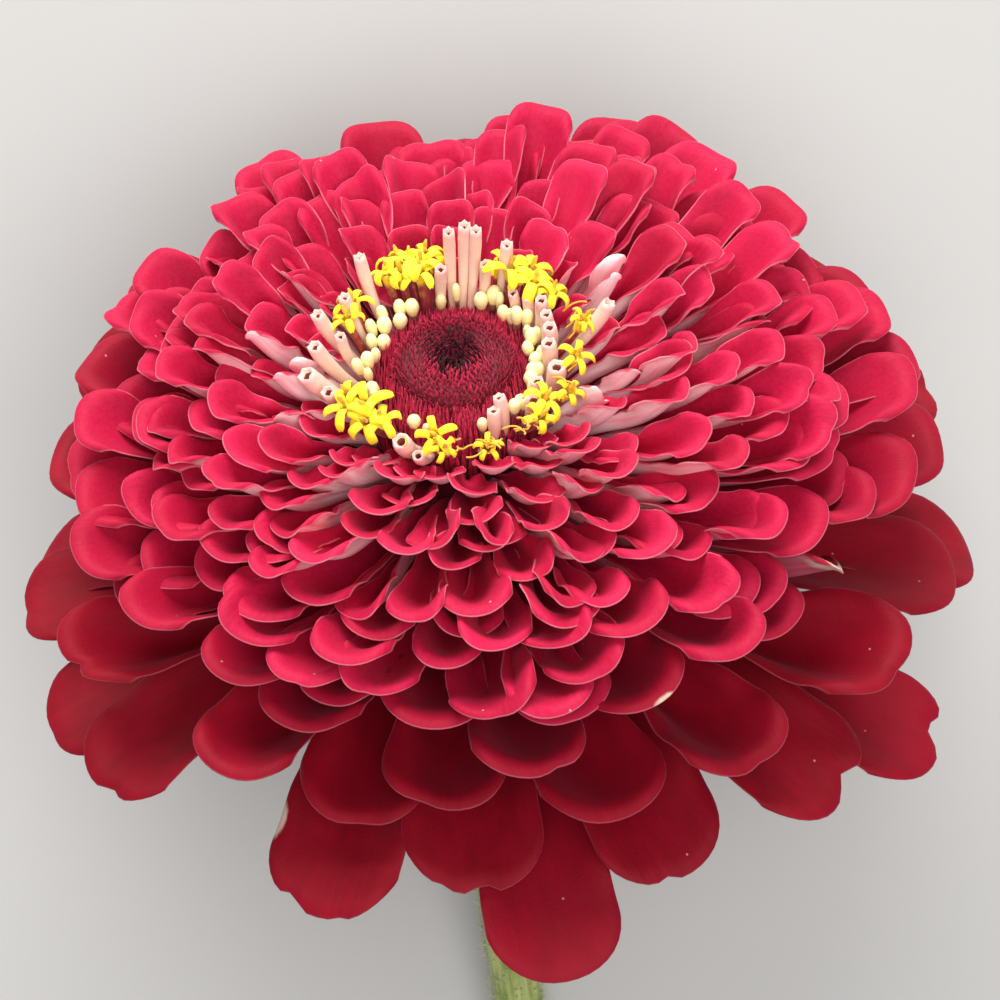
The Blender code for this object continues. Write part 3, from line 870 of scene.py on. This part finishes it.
# long plain scales stand packed outside the cushion, between the florets' tubes
outward, sidewards = golden_steps(OUTER_SCALE_COUNT)
place = chaff_chance.uniform(0, 1, (OUTER_SCALE_COUNT, 1))
radius = OUTER_SCALE_RADII[0] + np.ptp(OUTER_SCALE_RADII) * place
height = OUTER_SCALE_HEIGHTS[0] - np.ptp(OUTER_SCALE_HEIGHTS) * place**2
foot = outward * radius + upward * height
lean = unit(outward * (0.05 + 0.2 * place) + upward)
lengths = chaff_chance.uniform(*OUTER_SCALE_LENGTHS, OUTER_SCALE_COUNT)
lengths = lengths + (0.6 * place[:, 0] - 1.4 * place[:, 0] ** 3) * MM
spike_sets.append(spikes(foot, lean, sidewards, lengths, OUTER_SCALE_WIDTHS, 0.3, 0.1))
vertices, faces, tone = merged_spikes(np.concatenate(spike_sets))
cushion_vertices, cushion_faces = turned_body(CUSHION_PROFILE[::-1])
vertices = in_row_frame(np.concatenate((cushion_vertices, vertices)))
faces = np.concatenate((cushion_faces, faces + len(cushion_vertices)))
tone = np.concatenate((grey_tone(np.full(len(cushion_vertices), CUSHION_PAINTED_SHADE)), tone))
add_piece("disc_scales", vertices, faces, tone, scale_velvet, ["disc_cone"])

# dark bristles fill the dimple
outward, sidewards = golden_steps(BRISTLE_COUNT)
radius = BRISTLE_REACH * np.sqrt(chaff_chance.uniform(0.01, 1, BRISTLE_COUNT))
dimple = crown[:CUSHION_DIMPLE_POINTS]
height = np.interp(radius, dimple[:, 0], dimple[:, 1]) - BRISTLE_DEPTH
foot = outward * radius[:, None] + upward * height[:, None]
lean = unit(outward * chaff_chance.uniform(-0.5, 0.8, (BRISTLE_COUNT, 1)) + upward)
lengths = chaff_chance.uniform(*BRISTLE_LENGTHS, BRISTLE_COUNT)
rings = spikes(foot, lean, sidewards, lengths, BRISTLE_WIDTHS, 0.6, 0.1)
vertices, faces, tone = merged_spikes(rings)
vertices = in_row_frame(vertices)
add_piece("disc_bristles", vertices, faces, tone, bristle_dark, ["disc_cone"])

# ---------------------------------------------------------------------------------------
# Disc florets: small flowers in a ring round the cushion. The open ones are bright yellow
# stars of five recurved lobes on a tube, the pale rolled ones are tubes with a notched
# mouth, the youngest are buds against the cushion, and loose styles curl between them.

# a floret's azimuth in degrees, its mouth's distance from the axis and height in
# millimetres, and then a star's size or a roll's girth
STARS = (
    (122, 13.8, 43.8, 0.85), (116, 12.9, 44.1, 0.95), (110, 14.1, 44.1, 1.05), (104, 13.1, 44.4, 0.95),
    (101, 14.7, 43.9, 0.9), (114, 15.2, 43.6, 0.95), (107, 12.0, 43.8, 0.95), (66, 13.4, 43.8, 0.8),
    (57, 12.4, 44.9, 1.1), (42, 12.6, 44.3, 1.25), (50, 14.4, 44.0, 1.05), (33, 13.6, 43.7, 0.8),
    (157, 13.0, 43.5, 0.75), (147, 13.4, 43.9, 0.8), (213, 14.8, 43.2, 1.0), (219, 13.0, 43.2, 1.05),
    (225, 14.4, 42.8, 1.0), (230, 13.0, 42.6, 0.9), (208, 13.6, 43.2, 0.8), (258, 12.6, 42.2, 0.8),
    (263, 13.8, 41.6, 0.55), (283, 14.2, 41.6, 0.5), (312, 13.8, 42.2, 0.75), (321, 12.6, 42.6, 0.9),
    (331, 14.4, 42.6, 0.6), (350, 13.8, 43.4, 0.7), (10, 14.8, 44.0, 0.5),
)
ROLLS = (
    (90, 12.4, 49.2, 0.75), (82, 13.2, 49.4, 0.8), (76, 12.8, 49.2, 0.75), (61, 13.4, 47.4, 0.8),
    (96, 10.4, 45.4, 0.75), (69, 11.0, 45.8, 0.7), (131, 15.6, 46.6, 0.8), (151, 13.8, 45.4, 0.8),
    (164, 15.8, 45.2, 0.9), (172, 12.8, 44.2, 0.7), (180, 15.6, 44.6, 0.95), (192, 17.0, 43.8, 1.2),
    (202, 15.4, 43.2, 0.9), (12, 18.0, 45.2, 0.9), (24, 10.9, 45.6, 0.8), (14, 10.7, 45.2, 0.8),
    (4, 10.7, 45.0, 0.9), (355, 10.5, 44.2, 0.95), (341, 11.9, 43.4, 1.15), (330, 10.3, 42.6, 0.85),
    (318, 11.4, 42.2, 1.05), (301, 9.0, 43.0, 0.8), (294, 9.8, 42.2, 0.85), (243, 14.0, 41.8, 1.15),
    (252, 14.8, 41.0, 0.75), (36, 10.4, 44.4, 0.7), (47, 10.0, 44.0, 0.65),
)
BUDS = (
    (149, 11.0, 42.4), (144, 9.8, 42.6), (139, 10.8, 43.0), (133, 9.4, 42.2), (118, 9.4, 42.2),
    (99, 9.6, 42.0), (86, 9.8, 42.8), (70, 9.6, 42.6), (58, 9.8, 42.8), (44, 9.4, 42.2),
    (37, 9.3, 42.8), (33, 10.1, 43.4), (25, 8.8, 42.2), (15, 9.1, 42.6), (9, 8.5, 41.8),
    (0, 9.1, 41.8), (352, 8.5, 41.4), (346, 9.5, 42.2), (338, 8.9, 41.4), (330, 9.7, 41.8),
    (322, 9.4, 41.2), (311, 9.8, 41.6), (287, 9.4, 41.2), (251, 10.0, 41.2), (208, 10.6, 42.0),
    (201, 10.4, 41.8), (186, 10.0, 41.6), (182, 11.0, 42.4), (176, 9.8, 42.2), (159, 10.0, 42.2),
    (155, 9.0, 41.8), (127, 10.4, 42.8), (64, 10.6, 43.0), (51, 9.0, 42.4), (20, 10.1, 43.0),
    (4, 10.1, 42.4), (345, 8.5, 41.6), (316, 10.6, 41.8), (240, 9.4, 41.0), (168, 9.4, 41.6),
)
FLORET_FOOT = np.array((8.6, 35.2)) * MM
FLORET_SIDES = 10
FLORET_SEED = 8
PATH_POINTS = 14
# a tube's rings: shares of the path's length, radii and shades, low shades being painted shade; the
# last ones turn back in
STAR_BOW = 0.6 * MM
STAR_STATIONS = (0, 0.5, 0.8, 0.94, 1.0, 0.97, 0.85, 0.8)
STAR_RADII = np.array((0.4, 0.42, 0.5, 0.75, 0.9, 0.75, 0.35, 0.2)) * MM
STAR_SHADES = (0.0, 0.0, 0.06, 0.4, 0.6, 0.4, 0.1, 0.0)
ROLL_BOW = 0.9 * MM
ROLL_SAG = -0.2 * MM
ROLL_STATIONS = (0, 0.3, 0.5, 0.7, 0.85, 0.95, 1.0, 0.985, 0.95, 0.85)
ROLL_RADII = np.array((0.45, 0.58, 0.74, 0.9, 0.98, 0.94, 0.82, 0.6, 0.42, 0.34)) * MM
ROLL_SHADES = (0.2, 0.3, 0.45, 0.6, 0.7, 0.8, 0.95, 1.0, 0.0, 0.0)
ROLL_TEETH = np.array((0, 0, 0, 0, 0, 0.4, 1, 1, 0.4, 0)) * 0.14 * MM
BUD_BOW = 0.3 * MM
BUD_FOOT_INSET = 0.4 * MM
BUD_STATIONS = (0, 0.55, 0.7, 0.77, 0.85, 0.93, 0.98, 1.0)
BUD_RADII = np.array((0.3, 0.33, 0.4, 0.6, 0.7, 0.62, 0.42, 0.1)) * MM
BUD_SHADES = (0.0, 0.0, 0.1, 0.5, 0.8, 0.9, 1.0, 1.0)
BUD_SIDES = 8
LOBES = 5
LOBE_START = 0.6 * MM
LOBE_RISE = 48
LOBE_CURL = 150
LOBE_LENGTH = 3.0 * MM
LOBE_WIDTH = 1.15 * MM
LOBE_CROWN = 0.14 * MM
LOBE_SWAY = 0.35 * MM
LOBE_ROWS = 7
LOBE_COLUMNS = 5
LOBE_THICKNESS = 0.22 * MM
STYLE_DEPTH = 0.8 * MM
STYLE_HEIGHT = 1.7 * MM
STYLE_BOW = 0.25 * MM
STYLE_RADII = np.array((0.16, 0.2, 0.24, 0.3, 0.12)) * MM
STYLE_SIDES = 6
THREAD_COUNT = 26
THREAD_REACH = 2.2 * MM
THREAD_RISE = 1.6 * MM
THREAD_COIL = 0.55 * MM
THREAD_RADII = np.full(12, 0.13 * MM)
THREAD_POINTS = 16
THREAD_SIDES = 4


def polar(azimuth, distance, height):
    """A head point from its azimuth in degrees, distance from the axis and height."""
    return round_axis(distance, math.radians(azimuth), height)


def carried(path, stations, radii, sides):
    """Rings carried along a path of points.

    Each ring is a circle of its radius square to the path, at its station, a share of the
    path's length. Stations may turn back, which folds the tube into itself. The rings start
    from the one of the three axes that the path follows least.
    """
    lengths = arc_lengths(path)
    share = lengths / lengths[-1]
    tangents = unit(np.gradient(path, axis=0))
    centre = np.stack([np.interp(stations, share, path[:, k]) for k in range(3)], axis=-1)
    along = unit(np.stack([np.interp(stations, share, tangents[:, k]) for k in range(3)], axis=-1))
    least_followed = np.eye(3)[np.argmin(np.abs(along).max(axis=0))]
    first = unit(np.cross(along, least_followed))
    second = np.cross(along, first)
    angle = (np.arange(sides) / sides * 2 * math.pi)[None, :, None]
    ring = first[:, None] * np.cos(angle) + second[:, None] * np.sin(angle)
    return centre[:, None] + np.asarray(radii)[:, None, None] * ring


def bowed_path(start, end, bow):
    """Points from start to end, pushed sideways by a parabola that is bow at its middle."""
    step = np.linspace(0, 1, PATH_POINTS)[:, None]
    return start + (end - start) * step + bow * 4 * step * (1 - step)


def with_shade(vertices, faces, shade):
    """A part for joining, with no pattern of its own but a shade at each vertex."""
    return vertices, faces, np.zeros((len(vertices), 2)), grey_tone(shade)


def tube_part(rings, shades):
    """A part for joining, from a tube's rings and one shade for each of them."""
    rows, sides = rings.shape[:2]
    return with_shade(rings.reshape(-1, 3), tube_faces(rows, sides), np.repeat(shades, sides))


def star_floret(azimuth, distance, height, size, chance):
    """An open floret: a tube from the ring's foot, and five strap lobes that curl back.

    A lobe leaves the mouth outwards and turns evenly over and back; its width is even at
    first and rounds off like a circle, and its middle stands above its sides.
    """
    mouth = polar(azimuth, distance * MM, height * MM)
    foot = polar(azimuth, *FLORET_FOOT)
    axis = unit(mouth - foot) * 0.75 + upward * 0.35
    axis = unit(axis + np.array((*chance[:2], 0.0)) * 0.25)
    path = bowed_path(foot, mouth, polar(azimuth, STAR_BOW, 0.0))
    parts = [tube_part(carried(path, STAR_STATIONS, STAR_RADII, FLORET_SIDES), STAR_SHADES)]
    side = unit(np.cross(axis, upward + 0.01))
    other = np.cross(axis, side)
    step = np.linspace(0, 1, LOBE_ROWS)[:, None]
    across = np.linspace(-1, 1, LOBE_COLUMNS)[None, :]
    rounding = np.sqrt(1 - (2 * np.clip(step, 0.5, 0.97) - 1) ** 2)
    half = LOBE_WIDTH / 2 * rounding * (0.7 + 0.3 * step)
    for lobe in range(LOBES):
        angle = 2 * math.pi * (lobe + chance[0]) / LOBES
        radial = side * math.cos(angle) + other * math.sin(angle)
        beside = np.cross(axis, radial)
        sway = math.sin(7.3 * lobe + 5 * chance[1])
        curl = LOBE_CURL + 30 * chance[2] + 25 * sway
        bend = np.radians(LOBE_RISE + 14 * sway - curl * step[:, 0])
        out = LOBE_START + size * LOBE_LENGTH * running_sum(np.cos(bend), step[:, 0])[:, None]
        rise = size * LOBE_LENGTH * running_sum(np.sin(bend), step[:, 0])[:, None]
        rise = rise - LOBE_CROWN * across**2
        aside = size * half * across + LOBE_SWAY * sway * step**2
        points = mouth + radial * out[..., None] + beside * aside[..., None] + axis * rise[..., None]
        vertices, faces, border = shell_of(points, np.full(points.shape[:2], LOBE_THICKNESS))
        shade = np.broadcast_to(0.6 + 0.4 * step, points.shape[:2]).reshape(-1)
        parts.append(with_shade(vertices, faces, np.concatenate((shade, shade, shade[border]))))
    style_bow = side * STYLE_BOW * chance[1]
    style = bowed_path(mouth - axis * STYLE_DEPTH, mouth + axis * STYLE_HEIGHT, style_bow)
    style = carried(style, np.linspace(0, 1, len(STYLE_RADII)), STYLE_RADII, STYLE_SIDES)
    return [*parts, tube_part(style, np.full(len(STYLE_RADII), 0.2))]


def rolled_floret(azimuth, distance, height, girth, chance):
    """A rolled tube, widest under its toothed mouth, whose rim turns into a throat darkened by painted
    shade.
    """
    mouth = polar(azimuth, distance * MM, height * MM)
    foot = polar(azimuth + 6 * chance[0], *FLORET_FOOT)
    path = bowed_path(foot, mouth, polar(azimuth, ROLL_BOW, ROLL_SAG))
    rings = carried(path, ROLL_STATIONS, ROLL_RADII * girth, FLORET_SIDES)
    teeth = ROLL_TEETH[:, None] * np.cos(np.arange(FLORET_SIDES) * math.pi)
    return [tube_part(rings + teeth[..., None] * unit(mouth - foot), ROLL_SHADES)]


def bud(azimuth, distance, height, chance):
    """A closed egg-shaped bud on a short neck, leaning on the cushion."""
    distance, height = distance + 0.4 * chance[2], height + 0.5 * chance[1]
    tip = polar(azimuth + 2.5 * chance[1], distance * MM, height * MM)
    foot = polar(azimuth, FLORET_FOOT[0] - BUD_FOOT_INSET, FLORET_FOOT[1])
    path = bowed_path(foot, tip, polar(azimuth, BUD_BOW, 0.0))
    radii = BUD_RADII * (1.0 + 0.3 * chance[0])
    return [tube_part(carried(path, BUD_STATIONS, radii, BUD_SIDES), BUD_SHADES)]


def curled_thread(azimuth, distance, height, chance):
    """A loose style: a thin thread that leaves the ring and curls over in a widening coil."""
    start = polar(azimuth, distance * MM, height * MM)
    turn = np.linspace(0, 1, THREAD_POINTS)[:, None]
    phase = 4 * turn + 3 * chance[1]
    coil = np.concatenate((np.sin(phase), np.cos(phase), turn), axis=-1)
    path = start + polar(azimuth + 60 * chance[0], THREAD_REACH, 0.0) * turn
    path = path + upward * THREAD_RISE * turn * (1 - 0.6 * turn) + THREAD_COIL * coil * turn
    rings = carried(path, np.linspace(0, 1, len(THREAD_RADII)), THREAD_RADII, THREAD_SIDES)
    return [tube_part(rings, np.full(len(THREAD_RADII), 0.5))]


def floret_material(name, dark, middle, light, roughness):
    """A floret's skin, from dark over middle to light along its length; the dark is painted shade."""
    material, tree = principled(name, middle, roughness, Sheen_Weight=0.2)
    grain = noise(tree, object_place(tree), 1500.0, 3.0)
    jitter = maths(tree, "MULTIPLY_ADD", grain, 0.35, -0.17)
    shade = maths(tree, "ADD", tone_channels(tree)[0], jitter)
    tint = blended(tree, shade, 0.0, 0.35, dark, middle)
    tint = blended(tree, shade, 0.45, 0.95, tint, light)
    coat(tree, tint, grain, 0.3, 0.1 * MM)
    return material


# each floret's first colour, a dark maroon, is painted shade at its foot among the scales, at a bud's
# neck and in a throat
star_yellow = floret_material(
    "star_yellow", (0.32, 0.008, 0.03), (1.0, 0.72, 0.01), (1.0, 0.88, 0.01), 0.55
)
roll_blush = floret_material(
    "roll_blush", (0.24, 0.04, 0.03), (0.92, 0.66, 0.50), (0.92, 0.50, 0.45), 0.5
)
bud_cream = floret_material(
    "bud_cream", (0.20, 0.008, 0.02), (1.0, 0.82, 0.30), (1.0, 0.93, 0.46), 0.5
)
thread_gold = floret_material(
    "thread_gold", (0.5, 0.2, 0.01), (0.85, 0.48, 0.03), (0.9, 0.6, 0.05), 0.5
)
floret_chance = np.random.default_rng(FLORET_SEED)
threads = [
    floret_chance.uniform(low, high, THREAD_COUNT)
    for low, high in ((240, 400), (11.5, 14.5), (40.5, 43.0))
]
for name, places, make, material in (
    ("open_florets", STARS, star_floret, star_yellow),
    ("rolled_florets", ROLLS, rolled_floret, roll_blush),
    ("floret_buds", BUDS, bud, bud_cream),
    ("loose_styles", zip(*threads), curled_thread, thread_gold),
):
    parts = [part for place in places for part in make(*place, floret_chance.uniform(-1, 1, 3))]
    vertices, faces, _, tone = joined(parts)
    vertices = in_row_frame(vertices)
    add_piece(name, vertices, faces, tone, material, ["disc_floret_ring"])

# ---------------------------------------------------------------------------------------
# The involucre: rounded green bracts that overlap like fish scales round the foot of the
# head, leathery, with a dark papery margin. Each is a thin curved scale hugging the cone.

BRACTS_PER_ROW = 8
# each row's stand-off in millimetres, share of the full height, and turn in bracts
BRACT_ROWS = (("inner", 0.35, 1.0, 0.0), ("outer", 1.15, 0.8, 0.5), ("base", 1.9, 0.5, 0.0))
BRACT_PROFILE = MM * np.array(((4.2, -7.0), (7.8, -5.8), (10.9, -1.9), (11.7, 1.5), (12.0, 2.6)))
BRACT_THICKNESS = 0.42 * MM
BRACT_MARGIN = 0.2
BRACT_MARGIN_THICKNESS_SHARE = 0.35
BRACT_GRID = (15, 13)
BRACT_FILL = 1.12
BRACT_ROUNDING = 0.28
BRACT_FLARE = 0.5 * MM
BRACT_BULGE = 0.25 * MM
BRACT_OVERLAP = 0.3 * MM


def bract_surface(azimuth, stand_off, share):
    """The middle surface of one bract, and its margin: the foot's profile over an outline.

    A row is as far along the profile as the outline's round end allows, and bulges outwards
    in its middle; one side stands out and the other in, so that neighbours overlap.
    """
    rows, columns = BRACT_GRID
    across = np.linspace(-1, 1, columns)[None, :]
    rounding = 1 - np.sqrt(1 - 0.97 * across**2)
    along = np.linspace(0, 1, rows)[:, None] * (1 - BRACT_ROUNDING * rounding)
    lengths = arc_lengths(BRACT_PROFILE)
    place = along * lengths[-1] * share
    radius = np.interp(place, lengths, BRACT_PROFILE[:, 0]) + stand_off * MM * (0.5 + 0.5 * along)
    height = np.interp(place, lengths, BRACT_PROFILE[:, 1]) - stand_off * MM * 0.35 * (1 - along)
    radius = radius + BRACT_FLARE * along**4 + BRACT_BULGE * (1 - across**2) - BRACT_OVERLAP * across
    angle = azimuth + across * BRACT_FILL * math.pi / BRACTS_PER_ROW * (0.8 + 0.2 * along)
    margin = np.minimum(1 - np.abs(across), along[-1:] - along)
    return round_axis(radius, angle, height), margin


def bract_material():
    """Leathery green with fine veins, browning to a black papery margin."""
    material, tree = principled("bract_green", (0.16, 0.26, 0.05), 0.5, Sheen_Weight=0.15)
    clouds = noise(tree, object_place(tree), 500.0, 5.0)
    green = blended(tree, clouds, 0.3, 0.7, (0.13, 0.24, 0.04), (0.28, 0.36, 0.10))
    edge = maths(tree, "MULTIPLY_ADD", clouds, 0.2, -0.1)
    edge = maths(tree, "ADD", tone_channels(tree)[0], edge)
    brown = blended(tree, edge, 0.14, 0.3, (0.10, 0.05, 0.02), green)
    final = blended(tree, edge, 0.04, 0.14, (0.012, 0.008, 0.008), brown)
    coat(tree, final, clouds, 0.35, 0.15 * MM)
    return material


bract_green = bract_material()
for row, stand_off, share, turn in BRACT_ROWS:
    for number in range(1, BRACTS_PER_ROW + 1):
        azimuth = 2 * math.pi * (number - 1 + turn) / BRACTS_PER_ROW
        points, margin = bract_surface(azimuth, stand_off, share)
        fullness = np.clip(margin / BRACT_MARGIN, 0, 1)
        fullness = fullness + BRACT_MARGIN_THICKNESS_SHARE * (1 - fullness)
        vertices, faces, border = shell_of(in_row_frame(points), BRACT_THICKNESS * fullness)
        edge = margin.reshape(-1)
        tone = grey_tone(np.concatenate((edge, edge, np.zeros(len(border)))))
        name = f"involucre_{row}_{number}"
        replaced = [f"bract_{row}_{number}"] if row != "base" else []
        add_piece(name, vertices, faces, tone, bract_green, replaced)

# ---------------------------------------------------------------------------------------
# The stem: round, yellow-green, finely ribbed and covered in short stiff hairs, cut
# straight across. It leaves the head's axis in a curve and lies down on the table.

STEM_TOP = -6.6 * MM
STEM_KNOTS = (0, 0.06, 0.15, 0.6, 1)
STEM_RADII = np.array((4.1, 3.75, 3.4, 3.2, 3.0)) * MM
STEM_REACH = 74 * MM
STEM_DRIFT = -5 * MM
STEM_DROP = -0.06
STEM_LEAD = 26 * MM
STEM_END_HEIGHT = 3.0 * MM
STEM_PATH_POINTS = 120
STEM_SKIN_ROWS = 82
STEM_SIDES = 32
STEM_RIBS = 9
STEM_RIB_DEPTH = 0.025
# the cut end's rings, after the skin's last: a small bevel, the flesh, and a pith hollow
CUT_STATIONS = (0.9995, 1.0, 0.9995, 0.999, 0.998, 0.985, 0.98, 0.98)
CUT_SHARES = (0.985, 0.95, 0.85, 0.6, 0.42, 0.36, 0.2, 0.05)
HAIR_COUNT = 900
HAIR_SEED = 21
HAIR_FIRST_ROW = 2
HAIR_LAST_ROW = 78
HAIR_LENGTHS = np.array((0.6, 1.5)) * MM
HAIR_DEPTH = 0.05 * MM
HAIR_WIDTHS = np.array((0.07, 0.05, 0.015)) * MM
HAIR_LEAST_HEIGHT = 0.03 * MM
HAIR_SHADE = 0.5
HAIR_UV = 0.3


def bezier(points, count):
    """Points of a cubic curve from the first to the last of four control points."""
    step = np.linspace(0, 1, count)[:, None]
    rest = 1 - step
    shares = (rest**3, 3 * rest**2 * step, 3 * rest * step**2, step**3)
    return sum(share * point for share, point in zip(shares, points))


stem_top = in_row_frame((0.0, 0.0, STEM_TOP))
stem_end = np.array((stem_top[0] + STEM_DRIFT, stem_top[1] + STEM_REACH, STEM_END_HEIGHT))
stem_lead = stem_top - head_axes[2] * STEM_LEAD
stem_tail = stem_end - unit(np.array((STEM_DRIFT / STEM_REACH, 1.0, STEM_DROP))) * STEM_LEAD
stem_path = bezier((stem_top, stem_lead, stem_tail, stem_end), STEM_PATH_POINTS)
stem_stations = np.concatenate((np.linspace(0, 1, STEM_SKIN_ROWS), CUT_STATIONS))
stem_radii = np.interp(stem_stations, STEM_KNOTS, STEM_RADII)
stem_radii[STEM_SKIN_ROWS:] *= CUT_SHARES
stem_rings = carried(stem_path, stem_stations, stem_radii, STEM_SIDES)
around = np.arange(STEM_SIDES) / STEM_SIDES
rib = 1 + STEM_RIB_DEPTH * np.cos(STEM_RIBS * around * 2 * math.pi)[None, :, None]
stem_middle = stem_rings.mean(axis=1, keepdims=True)
stem_rings = stem_middle + (stem_rings - stem_middle) * rib


def stem_material():
    """Yellow-green skin, darker streaks along the ribs and red-brown specks; pale flesh inside."""
    material, tree = principled("stem_green", (0.30, 0.36, 0.10), 0.5, Sheen_Weight=0.2)
    streaks = surface_noise(tree, 22.0, 3.0, 4.0)
    green = blended(tree, streaks, 0.35, 0.65, (0.20, 0.27, 0.05), (0.42, 0.46, 0.16))
    specks = ramped(tree, noise(tree, object_place(tree), 900.0, 2.0), 0.62, 0.75, 0.0, 0.6)
    green = mixed(tree, specks, green, (0.20, 0.08, 0.04))
    final = mixed(tree, tone_channels(tree)[0], green, (0.62, 0.64, 0.38))
    coat(tree, final, streaks, 0.3, 0.2 * MM)
    return material


stem_green = stem_material()
hair_chance = np.random.default_rng(HAIR_SEED)
hair_row = hair_chance.integers(HAIR_FIRST_ROW, HAIR_LAST_ROW, HAIR_COUNT)
hair_side = hair_chance.integers(0, STEM_SIDES, HAIR_COUNT)
foot = stem_rings[hair_row, hair_side]
outward = unit(foot - stem_middle[hair_row, 0])
back = unit(stem_middle[hair_row, 0] - stem_middle[hair_row + 1, 0])
lean = unit(outward + back * hair_chance.uniform(-0.2, 0.5, (HAIR_COUNT, 1)))
lengths = hair_chance.uniform(*HAIR_LENGTHS, HAIR_COUNT)
foot = foot - outward * HAIR_DEPTH
hairs = spikes(foot, lean, np.cross(lean, back), lengths, HAIR_WIDTHS, 1.0, -0.15)
hair_vertices, hair_faces, _ = merged_spikes(hairs)
hair_vertices[:, 2] = np.maximum(hair_vertices[:, 2], HAIR_LEAST_HEIGHT)
stem_vertices = stem_rings.reshape(-1, 3)
stem_vertices[:, 2] = np.maximum(stem_vertices[:, 2], 0)
inside = np.arange(len(stem_stations)) > STEM_SKIN_ROWS
inside = np.repeat(inside.astype(float), STEM_SIDES)
ring_share, row_share = np.meshgrid(around, stem_stations * 4)
stem_uv = np.stack((ring_share, row_share), axis=-1).reshape(-1, 2)
faces = tube_faces(len(stem_stations), STEM_SIDES)
add_piece(
    "hairy_stem",
    np.concatenate((stem_vertices, hair_vertices)),
    np.concatenate((faces, hair_faces + len(stem_vertices))),
    grey_tone(np.concatenate((inside, np.full(len(hair_vertices), HAIR_SHADE)))),
    stem_green,
    ["stem"],
    np.concatenate((stem_uv, np.full((len(hair_vertices), 2), HAIR_UV))),
)
